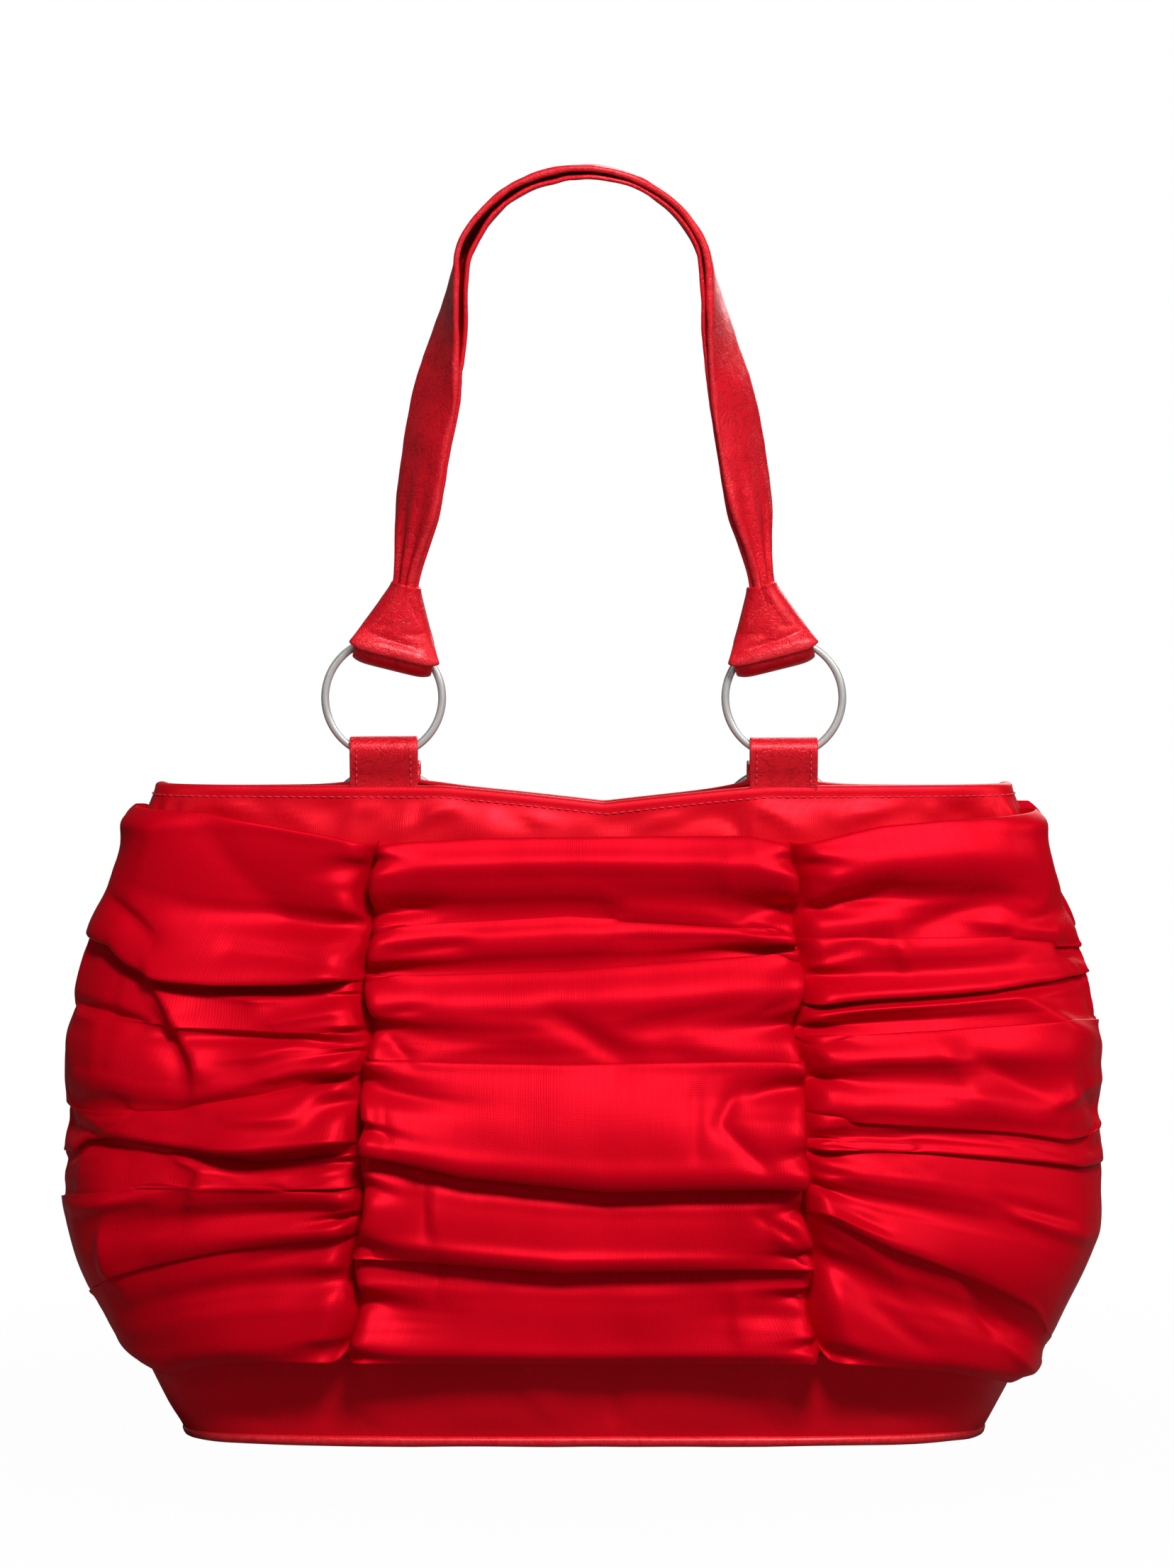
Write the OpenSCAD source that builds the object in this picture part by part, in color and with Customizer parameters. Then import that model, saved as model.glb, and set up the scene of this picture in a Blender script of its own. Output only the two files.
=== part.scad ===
// Ruched satin shoulder bag with knotted leather straps on metal rings.
// The bag stands on its base. +Z is up, the front faces -Y and the origin is
// the centre of the base. All lengths are in millimetres.

/* [Bag body] */
// Height from the base to the rim beside the tabs
bag_h = 240; // [220:1:265]
// Width of the base along its piping
base_w = 294; // [270:1:320]
// Depth of the base along its piping
base_d = 104; // [90:1:125]
// Width of the body at its widest height
belly_w = 364; // [340:1:385]
// Depth of the body at its widest height
belly_d = 118; // [105:1:135]
// Height of the widest part above the base
belly_z = 100; // [85:1:115]
// Width of the mouth
mouth_w = 316; // [300:1:335]
// Depth of the mouth
mouth_d = 54; // [48:1:66]
// Height of the upright band under the rim
band_h = 30; // [28:1:38]
// Dip of the rim halfway between the tabs
rim_dip = 6; // [0:0.5:10]
// Squareness of the base outline, where 2 is an ellipse
base_square = 4; // [3:0.1:5]
// Squareness of the mouth outline, where 2 is an ellipse
mouth_square = 3.2; // [2.8:0.1:4]
// Direction of the side seams, seen from the middle of the bag
seam_angle = 18; // [14:1:24]

/* [Cloth and lining] */
// Thickness of the outer cloth with its backing
fabric_t = 1.2; // [0.8:0.1:1.6]
// Thickness of the lining
lining_t = 0.8; // [0.6:0.1:1.2]
// Room in the wall between the outer cloth and the lining
wall_room = 4.4; // [4:0.1:6]
// Thickness of the board in the base
board_t = 2; // [1.5:0.1:3]
// Diameter of the leather piping round the base
piping_d = 4; // [3:0.5:6]
// Gap between neighbouring sewn pieces
sewn_gap = 0.3; // [0.2:0.05:0.4]

/* [Ruching] */
// Distance of the gathered seams from the middle, at the hem
ruche_x_hem = 83; // [75:1:90]
// Distance of the gathered seams from the middle, at the top
ruche_x_top = 75; // [68:1:82]
// How far the gathered cloth stands out from the body
puff = 12; // [8:0.5:15]
// How full the creases are beside a side seam, as a share of a fold
billow = 0.7; // [0:0.05:0.8]
// How far each gathered fold droops
droop = 4; // [0:0.5:6]
// Width of the stay tape behind a gathered seam
tape_w = 9; // [6:1:14]
// Thickness of the stay tape
tape_t = 0.6; // [0.4:0.1:0.8]

/* [Rings and tabs] */
// Distance of the tabs from the middle
tab_x = 73.5; // [66:0.5:80]
// Width of a tab
tab_w = 25; // [20:0.5:28]
// Thickness of one ply of tab leather
tab_ply = 1.3; // [1:0.1:1.4]
// How far a tab stands above the rim
tab_rise = 19; // [16:0.5:24]
// How far a tab reaches down inside the wall
tab_depth = 24; // [18:1:26]
// Inner diameter of a ring
ring_id = 40; // [36:1:46]
// Diameter of the ring's wire
ring_wire = 3; // [2.5:0.1:4]
// Clearance of a ring inside its leather loops
loop_play = 0.4; // [0.3:0.1:0.6]

/* [Knots and straps] */
// Lean of a knot towards the middle, in degrees
knot_lean = 14; // [0:1:18]
// Width of a knot along the ring
knot_w = 35; // [30:1:38]
// Width of a knot where the strap leaves it
knot_neck_w = 12; // [10:1:16]
// Thickness of a knot where it holds the ring
knot_t = 16; // [15:0.5:20]
// Thickness of a knot where the strap leaves it
knot_neck_t = 9; // [7:0.5:11]
// Height of a knot's neck above the middle of the ring
knot_top = 43; // [40:0.5:48]
// Width of the folded strap
strap_w = 26; // [20:1:30]
// Thickness of the folded strap
strap_t = 5.2; // [4:0.2:7]
// Width of the strap's arch at its shoulders, between centre lines
arch_w = 91; // [80:1:105]
// Height of the strap's shoulders above the rim
shoulder_rise = 185; // [160:1:210]
// Height of the round top of the arch
arch_h = 41; // [35:1:55]
// Turn of the strap's outer face towards the viewer, in degrees
strap_turn = 40; // [0:1:60]

/* [Hanging strap] */
// Bend of the back tabs over the rim, in degrees
tab_bend = 130; // [110:1:140]
// Inner radius of the bend in a back tab
bend_r = 3; // [2.5:0.1:4]
// Swing of the back rings from upright to where they hang, in degrees
ring_hang = 150; // [140:1:155]
// Further swing of the back strap on its rings, in degrees
strap_hang = 11; // [8:1:14]

/* [Hidden] */

satin = [0.76, 0.02, 0.09];
satin_dark = [0.62, 0.01, 0.06];
lining_red = [0.45, 0.02, 0.06];
leather = [0.80, 0.05, 0.10];
steel = [0.66, 0.66, 0.65];
board_grey = [0.35, 0.33, 0.32];

// Heights of the creases between the gathered folds, from the hem to the top,
// as shares of the ruched height at each edge of a panel. They are read off
// the folds that show on the front of the bag.
centre_creases_left = [0, 0.20, 0.42, 0.59, 0.75, 0.84, 1];
centre_creases_right = [0, 0.19, 0.35, 0.58, 0.79, 0.85, 1];
left_creases_outer = [0, 0.26, 0.47, 0.65, 0.83, 1];
left_creases_seam = [0, 0.24, 0.50, 0.64, 0.80, 1];
right_creases_seam = [0, 0.29, 0.48, 0.63, 0.81, 1];
right_creases_outer = [0, 0.25, 0.40, 0.64, 0.80, 1];
// Heights of the ruching's hem and top edge at the gathered and the side seams
hem_z_seam = 33;
hem_z_side = 25;
top_drop_seam = 18;
top_drop_side = 8;

wall_rows = 20;
front_cols = 14;
gusset_cols = 4;
ring_cols = 48;
band_rows = 3;
fold_rows = 4;
ruche_cols = 11;
outline_steps = 96;

band_z = bag_h - band_h;
seam_half_gap = 0.15;
piping_lift = 0.2;
wall_foot = piping_lift + piping_d + sewn_gap;

// The body's outline

function ease(t) = t * t * (3 - 2 * t);
function mix(a, b, t) = a + (b - a) * t;
function swell(z, base, belly, mouth) =
    z <= belly_z ? mix(base, belly, sin(90 * max(z, 0) / belly_z))
    : z <= band_z ? mix(belly, mouth, ease((z - belly_z) / (band_z - belly_z)))
    : mouth;
// The sides stay wide up to the shoulders, while the front and back lean in
function half_w(z) =
    z <= belly_z ? swell(z, base_w, belly_w, mouth_w) / 2
    : mix(belly_w, mouth_w, pow(ease(min((z - belly_z) / (bag_h - belly_z), 1)), 2.5)) / 2;
function half_d(z) = swell(z, base_d, belly_d, mouth_d) / 2;
function square(z) = mix(base_square, mouth_square, ease(min(max(z, 0) / band_z, 1)));

// A point of the outline at height z in direction a, moved out by off
function outline(z, a, off = 0) =
    let (n = square(z), r = pow(pow(abs(cos(a)), n) + pow(abs(sin(a)), n), -1 / n))
    [(half_w(z) + off) * r * cos(a), (half_d(z) + off) * r * sin(a), z];

// Direction of the point of the front outline that lies at x
function front_angle(z, x) =
    let (n = square(z), p = min(abs(x) / half_w(z), 1))
    atan2(-pow(1 - pow(p, n), 1 / n), sign(x) * p);

// Depth of the front outline at x, from the middle of the bag
function depth_at(z, x) =
    let (n = square(z)) half_d(z) * pow(1 - pow(abs(x) / half_w(z), n), 1 / n);

// Height of the rim over x
dip_reach = tab_x - tab_w / 2;
function rim_z(x) = bag_h - rim_dip * pow(cos(90 * min(abs(x) / dip_reach, 1)), 2);

// Solids made of two grids of points

function flat(rows) = [for (row = rows) each row];

// Triangles of a grid of n rows by m columns, whose first point has index k
function grid_faces(n, m, k, turn, wrap) = [
    for (i = [0:n - 2], j = [0:(wrap ? m - 1 : m - 2)])
        let (a = k + i * m + j, b = k + i * m + (j + 1) % m, c = a + m, d = b + m)
        each turn ? [[a, b, d], [a, d, c]] : [[a, d, b], [a, c, d]]
];
// Triangles that join the edge of one grid to the same edge of the other
function edge_faces(edge, shift, turn) = [
    for (i = [0:len(edge) - 2])
        let (a = edge[i], b = edge[i + 1], c = a + shift, d = b + shift)
        each turn ? [[a, d, b], [a, c, d]] : [[a, b, d], [a, d, c]]
];
// A closed solid between an outer and an inner grid of the same size
module between(outer, inner, wrap = false) {
    n = len(outer);
    m = len(outer[0]);
    shift = n * m;
    loop = wrap ? [0] : [];
    foot = concat([for (j = [0:m - 1]) j], loop);
    head = [for (j = foot) j + (n - 1) * m];
    polyhedron(
        concat(flat(outer), flat(inner)),
        concat(
            grid_faces(n, m, 0, false, wrap),
            grid_faces(n, m, shift, true, wrap),
            edge_faces(foot, shift, false),
            edge_faces(head, shift, true),
            wrap ? [] : edge_faces([for (i = [0:n - 1]) i * m], shift, true),
            wrap ? [] : edge_faces([for (i = [0:n - 1]) i * m + m - 1], shift, false)
        )
    );
}

// A piece of the wall between two directions and two heights. Its faces lie
// at the offsets out and in, and with to_rim its top follows the rim.
module wall(a0, a1, cols, z0, z1, rows, out, in, to_rim = false, wrap = false) {
    last = wrap ? cols - 1 : cols;
    function at(i, j, off) = let (
        a = mix(a0, a1, j / cols),
        top = to_rim ? rim_z(outline(bag_h, a)[0]) - (bag_h - z1) : z1
    ) outline(mix(z0, top, i / rows), a, off);
    between(
        [for (i = [0:rows]) [for (j = [0:last]) at(i, j, out)]],
        [for (i = [0:rows]) [for (j = [0:last]) at(i, j, in)]],
        wrap
    );
}

module flat_outline(z, off) {
    polygon([
        for (i = [0:outline_steps - 1])
            let (p = outline(z, 360 * i / outline_steps, off)) [p[0], p[1]]
    ]);
}

// Outer shell

module outer_wall(a0, a1, cols) {
    wall(a0 + seam_half_gap, a1 - seam_half_gap, cols, wall_foot, bag_h, wall_rows,
        0, -fabric_t, to_rim = true);
}
module front_panel() {
    color(satin_dark) outer_wall(seam_angle - 180, -seam_angle, front_cols);
}
module back_panel() {
    color(satin_dark) outer_wall(seam_angle, 180 - seam_angle, front_cols);
}
module right_gusset() {
    color(satin) outer_wall(-seam_angle, seam_angle, gusset_cols);
}
module left_gusset() {
    color(satin) outer_wall(180 - seam_angle, 180 + seam_angle, gusset_cols);
}

// Base

base_inset = piping_d / 2 + sewn_gap;
module base_panel() {
    color(satin_dark) linear_extrude(fabric_t) flat_outline(0, -base_inset);
}
board_z = fabric_t + sewn_gap;
board_inset = base_inset + wall_room;
module base_board() {
    color(board_grey) translate([0, 0, board_z])
        linear_extrude(board_t) flat_outline(0, -board_inset);
}
// Leather piping swept round the base
piping_sides = 8;
module base_piping() {
    r = piping_d / 2;
    function normal(a) = let (
        n = square(0),
        p = outline(0, a),
        g = [sign(p[0]) * pow(abs(p[0]) / half_w(0), n - 1) / half_w(0),
             sign(p[1]) * pow(abs(p[1]) / half_d(0), n - 1) / half_d(0)]
    ) g / norm(g);
    points = [
        for (i = [0:ring_cols - 1])
            let (a = 360 * i / ring_cols, p = outline(0, a), n = normal(a))
            for (j = [0:piping_sides - 1])
                let (b = 360 * j / piping_sides)
                [p[0] + r * cos(b) * n[0], p[1] + r * cos(b) * n[1], piping_lift + r + r * sin(b)]
    ];
    faces = [
        for (i = [0:ring_cols - 1], j = [0:piping_sides - 1])
            let (
                k = (i + 1) % ring_cols, l = (j + 1) % piping_sides,
                a = i * piping_sides + j, b = i * piping_sides + l,
                c = k * piping_sides + j, d = k * piping_sides + l
            )
            each [[a, b, d], [a, d, c]]
    ];
    color(leather) polyhedron(points, faces);
}

// Lining, facing and interlining

lining_off = -(fabric_t + wall_room);
lining_base_z = board_z + board_t + sewn_gap;
lining_foot = lining_base_z + lining_t + sewn_gap;
module lining_base() {
    color(lining_red) translate([0, 0, lining_base_z])
        linear_extrude(lining_t) flat_outline(lining_foot, lining_off - lining_t);
}
lining_rows = 12;
module lining_wall() {
    color(lining_red) wall(0, 360, ring_cols, lining_foot, band_z - sewn_gap, lining_rows,
        lining_off, lining_off - lining_t, wrap = true);
}
module mouth_facing() {
    color(satin_dark) wall(0, 360, ring_cols, band_z, bag_h - sewn_gap, band_rows,
        lining_off, lining_off - lining_t, to_rim = true, wrap = true);
}
// Four stiff strips that fill the band between the tabs
strip_foot = band_z + sewn_gap;
strip_room = 1;
tab_clear = tab_w / 2 + wall_room;
module rim_interlining() {
    inner = front_angle(bag_h, tab_x - tab_clear);
    outer = front_angle(bag_h, tab_x + tab_clear);
    color(board_grey)
        for (span = [[-180 - inner, inner], [outer, -outer], [-inner, 180 + inner],
                     [180 + outer, 180 - outer]])
            wall(span[0], span[1], front_cols, strip_foot, bag_h - sewn_gap, band_rows,
                -fabric_t - strip_room, lining_off + strip_room, to_rim = true);
}

// Ruching and its stay tapes

tape_off = 0.2;
ruche_in = tape_off + tape_t + 2 * sewn_gap;
ruche_out = ruche_in + fabric_t;
function ruche_x(z) = mix(ruche_x_hem, ruche_x_top, min(max(z / bag_h, 0), 1));

// One gathered panel. hem and top give its heights at the left and right
// edges, and left and right give the creases there. An edge is a gathered seam
// where its side is -1 or 1, and a side seam where it is 0.
module ruching(left, right, hem, top, side) {
    folds = len(left) - 1;
    rows = folds * fold_rows;
    function edge_angle(k, z) =
        side[k] != 0 ? front_angle(z, side[k] * ruche_x(z) + (k == 0 ? 1 : -1) * sewn_gap / 2)
        : k == 0 ? seam_angle - 180 + seam_half_gap : -seam_angle - seam_half_gap;
    function crease(i, u) = mix(
        mix(hem[0], top[0], left[i]), mix(hem[1], top[1], right[i]), u);
    function at(i, j, off) = let (
        u = j / ruche_cols,
        k = min(floor(i / fold_rows), folds - 1),
        t = i / fold_rows - k,
        outer = side[0] == 0 ? 1 - u : side[1] == 0 ? u : 0,
        gather = pow(max(sin(180 * u), 0), outer > 0.5 ? 0.25 : 0.4),
        // Beside a side seam the creases are fuller and the lowest fold lies close
        fill = billow * pow(outer, 2) * min(i / fold_rows, 1),
        snug = mix(1, min(i / (2 * fold_rows), 1), 0.7 * pow(outer, 2)),
        stand = gather * snug * mix(pow(max(sin(180 * t), 0), 0.7), 1, fill),
        z = mix(crease(k, u), crease(k + 1, u), t) - droop * stand
    ) outline(z, mix(edge_angle(0, z), edge_angle(1, z), u), off + puff * stand);
    color(satin) between(
        [for (i = [0:rows]) [for (j = [0:ruche_cols]) at(i, j, ruche_out)]],
        [for (i = [0:rows]) [for (j = [0:ruche_cols]) at(i, j, ruche_in)]]
    );
}
top_z_seam = bag_h - top_drop_seam;
top_z_side = bag_h - top_drop_side;
module ruching_left() {
    ruching(left_creases_outer, left_creases_seam,
        [hem_z_side, hem_z_seam], [top_z_side, top_z_seam], [0, -1]);
}
module ruching_centre() {
    ruching(centre_creases_left, centre_creases_right,
        [hem_z_seam, hem_z_seam], [top_z_seam, top_z_seam], [-1, 1]);
}
module ruching_right() {
    ruching(right_creases_seam, right_creases_outer,
        [hem_z_seam, hem_z_side], [top_z_seam, top_z_side], [1, 0]);
}
module tape(side) {
    rows = round(wall_rows * (top_z_seam - wall_foot) / (bag_h - wall_foot));
    step = (bag_h - wall_foot) / wall_rows;
    first = ceil((hem_z_seam - wall_foot) / step);
    function at(i, j, off) = let (
        z = wall_foot + i * step,
        x = side * ruche_x(z) + (j - 0.5) * tape_w
    ) outline(z, front_angle(z, x), off);
    color(lining_red) between(
        [for (i = [first:rows]) [for (j = [0:1]) at(i, j, tape_off + tape_t)]],
        [for (i = [first:rows]) [for (j = [0:1]) at(i, j, tape_off)]]
    );
}
// The back of the bag repeats the front
module at_back() {
    rotate([0, 0, 180]) children();
}

// Tabs and rings

ring_r = (ring_id + ring_wire) / 2;
// How far the ring's wire curves away across the width of a tab
wire_rise = ring_r - sqrt(ring_r * ring_r - tab_w * tab_w / 4);
loop_r = (wire_rise + ring_wire) / 2 + loop_play;
tab_y = -(depth_at(bag_h, tab_x + tab_w / 2) - fabric_t
    + depth_at(bag_h, tab_x - tab_w / 2) + lining_off) / 2;
swing_z = bag_h + tab_rise - tab_ply - loop_r;
ring_z = swing_z - wire_rise / 2 + ring_r;

module tab_profile() {
    r = loop_r + tab_ply;
    neck = 2.2 * r;
    foot = bag_h - tab_depth - swing_z;
    lean = atan2(-neck, tab_ply) + acos(r / norm([tab_ply, neck]));
    fold_steps = 24;
    difference() {
        polygon(concat(
            [for (i = [0:fold_steps])
                let (a = mix(lean, 180 - lean, i / fold_steps)) r * [cos(a), sin(a)]],
            [[-tab_ply, -neck], [-tab_ply, foot], [tab_ply, foot], [tab_ply, -neck]]
        ));
        circle(loop_r, $fn = 64);
    }
}
// The back tabs bend over the rim under the weight of the hanging strap
bend_mid = bend_r + tab_ply;
bend_at = [-bend_mid, bag_h + sewn_gap];
bend_tail = swing_z - bend_at[1] - bend_mid * tab_bend * PI / 180;
bend_end = bend_at + bend_mid * [cos(tab_bend), sin(tab_bend)]
    + bend_tail * [-sin(tab_bend), cos(tab_bend)];
module bent_tab_profile() {
    bend_steps = 20;
    function round_bend(r, from, to) = [
        for (i = [0:bend_steps])
            let (a = mix(from, to, i / bend_steps)) bend_at + r * [cos(a), sin(a)]
    ];
    foot = bag_h - tab_depth;
    side = tab_ply * [cos(tab_bend), sin(tab_bend)];
    difference() {
        union() {
            polygon(concat(
                [[tab_ply, foot]],
                round_bend(bend_mid + tab_ply, 0, tab_bend),
                [bend_end + side, bend_end - side],
                round_bend(bend_r, tab_bend, 0),
                [[-tab_ply, foot]]
            ));
            translate(bend_end) circle(loop_r + tab_ply, $fn = 64);
        }
        translate(bend_end) circle(loop_r, $fn = 64);
    }
}
module bent_tab(side) {
    color(leather) translate([side * tab_x, tab_y, 0])
        rotate([90, 0, 90]) linear_extrude(tab_w, center = true) bent_tab_profile();
}
module tab(side) {
    color(leather) translate([side * tab_x, tab_y, swing_z])
        rotate([90, 0, 90]) linear_extrude(tab_w, center = true) tab_profile();
}
module ring(side) {
    color(steel) translate([side * tab_x, tab_y, ring_z])
        rotate([90, 0, 0]) rotate_extrude($fn = 96) translate([ring_r, 0])
            circle(ring_wire / 2, $fn = 32);
}

// Knots and straps, standing upright

// Height of the line about which the strap swings on its rings
knot_pivot = ring_r * cos(40);
strap_swing_z = ring_z + knot_pivot;
// The ring runs through a curved slot in the knot that leaves it room to swing
slot_t = knot_t - 3;
slot_in = ring_r - ring_wire / 2 - 1.6;
slot_out = ring_r + ring_wire / 2 + 0.8;
knot_foot = ring_r * 0.52;
module knot(side) {
    r = knot_t / 2;
    color(leather) translate([side * tab_x, tab_y, ring_z]) rotate([0, -side * knot_lean, 0])
        difference() {
            hull() {
                translate([0, 0, knot_foot + r]) rotate([0, 90, 0])
                    cylinder(knot_w, r = r, center = true, $fn = 32);
                translate([0, 0, knot_top - knot_neck_t]) scale([knot_neck_w / knot_neck_t, 1, 1])
                    cylinder(knot_neck_t, d = knot_neck_t, $fn = 32);
            }
            rotate([90, 0, 0]) rotate_extrude($fn = 96)
                translate([slot_in, -slot_t / 2]) square([slot_out - slot_in, slot_t]);
        }
}

// Centre line of the strap: two straight limbs and a round top
neck_x = tab_x - (knot_top + sewn_gap) * sin(knot_lean);
neck_z = ring_z + (knot_top + sewn_gap) * cos(knot_lean);
shoulder_x = arch_w / 2;
shoulder_z = bag_h + shoulder_rise;
limb_steps = 8;
arch_steps = 16;
strap_line = concat(
    [for (i = [0:limb_steps - 1]) let (t = i / limb_steps)
        [-mix(neck_x, shoulder_x, t), mix(neck_z, shoulder_z, t), 1 - t]],
    [for (i = [0:arch_steps]) let (a = 180 * i / arch_steps)
        [-shoulder_x * cos(a), shoulder_z + arch_h * sin(a), 0]],
    [for (i = [1:limb_steps]) let (t = i / limb_steps)
        [mix(shoulder_x, neck_x, t), mix(shoulder_z, neck_z, t), t]]
);
// The strap is folded lengthwise, so its front edge is open
function strap_section(w, t) = [
    [-w / 2, -t / 4], [-w / 2, t / 4], [-w / 2 + t / 4, t / 2], [w / 2 - t / 4, t / 2],
    [w / 2, t / 3], [w / 2, t / 10], [-w / 5, 0.1], [-w / 5, -0.1], [w / 2, -t / 10],
    [w / 2, -t / 3], [w / 2 - t / 4, -t / 2], [-w / 2 + t / 4, -t / 2]
];
module strap() {
    n = len(strap_line);
    function along(i) = let (
        a = strap_line[max(i - 1, 0)], b = strap_line[min(i + 1, n - 1)],
        d = [b[0] - a[0], b[1] - a[1]]
    ) d / norm(d);
    // s is 1 at a knot and 0 on the round top
    function ring_at(i) = let (
        p = strap_line[i], s = p[2], d = along(i),
        pinch = s > 0.6 ? ease((s - 0.6) / 0.4) : 0,
        turn = strap_turn * ease(min(s / 0.5, 1)),
        w = mix(strap_w, knot_neck_w - 1, pinch),
        t = mix(strap_t, knot_neck_t - 1.5, pinch),
        out = [-d[1], d[0]]
    ) [
        for (q = strap_section(w, t))
            let (
                f = q[0] * cos(turn) + q[1] * sin(turn),
                o = q[1] * cos(turn) - q[0] * sin(turn)
            )
            [p[0] + o * out[0], tab_y - f, p[1] + o * out[1]]
    ];
    m = len(strap_section(1, 1));
    points = [for (i = [0:n - 1]) each ring_at(i)];
    sides = [
        for (i = [0:n - 2], j = [0:m - 1])
            let (a = i * m + j, b = i * m + (j + 1) % m, c = a + m, d = b + m)
            each [[a, b, d], [a, d, c]]
    ];
    // The end faces, as triangles either side of the fold
    cap = [[0, 1, 7], [1, 2, 6], [2, 3, 6], [3, 4, 5], [3, 5, 6], [6, 7, 1],
           [7, 8, 10], [8, 9, 10], [7, 10, 11], [7, 11, 0]];
    color(leather) polyhedron(points, concat(
        sides,
        [for (f = cap) [f[2], f[1], f[0]]],
        [for (f = cap) [f[0], f[1], f[2]] + (n - 1) * m * [1, 1, 1]]
    ));
}

// Turns a piece of the back strap down from upright about a line along X
module swing(angle, y, z) {
    translate([0, y, z]) rotate([angle, 0, 0]) translate([0, -y, -z]) children();
}
module back_ring_at_rest() {
    at_back() translate([0, bend_end[0], bend_end[1] - swing_z])
        swing(ring_hang, tab_y, swing_z) children();
}
module back_strap_at_rest() {
    back_ring_at_rest() swing(strap_hang, tab_y, strap_swing_z) children();
}

// Joint lines for the record
echo(tab_y = tab_y, swing_z = swing_z, ring_z = ring_z, strap_swing_z = strap_swing_z,
    back_swing_y = -tab_y - bend_end[0], back_swing_z = bend_end[1]);

front_panel();
back_panel();
left_gusset();
right_gusset();
base_panel();
base_board();
base_piping();
lining_wall();
lining_base();
mouth_facing();
rim_interlining();
ruching_left();  // front_ruching_left
ruching_centre();  // front_ruching_centre
ruching_right();  // front_ruching_right
at_back() ruching_right();  // back_ruching_left
at_back() ruching_centre();  // back_ruching_centre
at_back() ruching_left();  // back_ruching_right
tape(-1);  // front_tape_left
tape(1);  // front_tape_right
at_back() tape(1);  // back_tape_left
at_back() tape(-1);  // back_tape_right
tab(-1);  // front_tab_left
tab(1);  // front_tab_right
at_back() bent_tab(1);  // back_tab_left
at_back() bent_tab(-1);  // back_tab_right
ring(-1);  // front_ring_left
ring(1);  // front_ring_right
back_ring_at_rest() ring(1);  // back_ring_left
back_ring_at_rest() ring(-1);  // back_ring_right
knot(-1);  // front_knot_left
knot(1);  // front_knot_right
back_strap_at_rest() knot(1);  // back_knot_left
back_strap_at_rest() knot(-1);  // back_knot_right
strap();  // front_strap
back_strap_at_rest() strap();  // back_strap
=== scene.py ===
"""Looks for the ruched satin bag with knotted leather straps.

Lengths are millimetres in the model's own frame until a mesh is made, and
meshes are in metres. The body's formulas repeat those of the part's source.
"""
import math

import bmesh
import bpy
import numpy as np
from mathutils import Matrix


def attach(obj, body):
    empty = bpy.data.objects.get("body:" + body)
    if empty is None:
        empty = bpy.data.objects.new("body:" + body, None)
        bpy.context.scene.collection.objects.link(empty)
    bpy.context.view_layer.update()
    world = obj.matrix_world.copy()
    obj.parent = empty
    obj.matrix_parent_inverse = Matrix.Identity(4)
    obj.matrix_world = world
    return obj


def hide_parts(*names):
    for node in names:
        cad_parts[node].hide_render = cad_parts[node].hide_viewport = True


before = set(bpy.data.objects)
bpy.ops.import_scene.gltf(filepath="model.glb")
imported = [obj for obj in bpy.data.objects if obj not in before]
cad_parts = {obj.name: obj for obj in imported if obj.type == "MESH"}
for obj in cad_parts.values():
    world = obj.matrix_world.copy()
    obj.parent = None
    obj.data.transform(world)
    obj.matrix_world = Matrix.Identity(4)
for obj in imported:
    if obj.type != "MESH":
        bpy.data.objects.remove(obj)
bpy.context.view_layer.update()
MM = 0.001

# Body, as in the part's source
BAG_H = 240.0
BASE_W, BASE_D = 294.0, 104.0
BELLY_W, BELLY_D, BELLY_Z = 364.0, 118.0, 100.0
MOUTH_W, MOUTH_D = 316.0, 54.0
BAND_Z = 210.0
BASE_SQUARE, MOUTH_SQUARE = 4.0, 3.2
SEAM_ANGLE = math.radians(18)
WALL_FOOT = 4.5
FABRIC, WALL_ROOM = 1.2, 4.4
LINING_OFF = -(FABRIC + WALL_ROOM)
RUCHE_X_HEM, RUCHE_X_TOP = 83.0, 75.0
PIPING_R, PIPING_LIFT = 2.0, 0.2

# Tabs, rings, knots and straps, as in the part's source
TAB_X, TAB_W, TAB_PLY, TAB_DEPTH = 73.5, 25.0, 1.3, 24.0
TAB_Y, SWING_Z, RING_Z = -22.7613, 253.7964, 273.2929
RING_R, WIRE_R = 21.5, 1.5
LOOP_R = 3.9035
STRAP_SWING_Z = 289.7628
KNOT_LEAN = math.radians(14)
KNOT_TOP = 43.0
STRAP_W, STRAP_T = 26.0, 5.2
SHOULDER_X, SHOULDER_Z, ARCH_H = 45.5, 425.0, 41.0
STRAP_TURN = math.radians(40)
RING_HANG, STRAP_HANG = math.radians(150), math.radians(11)
# The back tabs are bent out over the rim: the bend's radius at the middle of
# the tab, its height and angle, and the straight length from it to the ring
BEND_R, BEND_Z, BEND_TURN, BEND_TAIL = 4.3, 240.3, math.radians(130), 3.7401


# Camera

VIEW_SCALE = 0.26  # millimetres of the bag for a pixel of the photograph
PICTURE_H = 2212
VIEW_FROM = 3.0
VIEW_HEIGHT = math.radians(4)
VIEW_X, VIEW_Y, VIEW_Z = 0.0012, -0.03, 0.242


def add_camera():
    lens = bpy.data.cameras.new("camera")
    lens.sensor_width = 36
    lens.lens = 36 * VIEW_FROM / (PICTURE_H * VIEW_SCALE * MM)
    camera = bpy.data.objects.new("camera", lens)
    camera.location = (
        VIEW_X,
        VIEW_Y - VIEW_FROM * math.cos(VIEW_HEIGHT),
        VIEW_Z + VIEW_FROM * math.sin(VIEW_HEIGHT),
    )
    camera.rotation_euler = (math.pi / 2 - VIEW_HEIGHT, 0, 0)
    bpy.context.scene.collection.objects.link(camera)
    bpy.context.scene.camera = camera


add_camera()


# The body's outline

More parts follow.
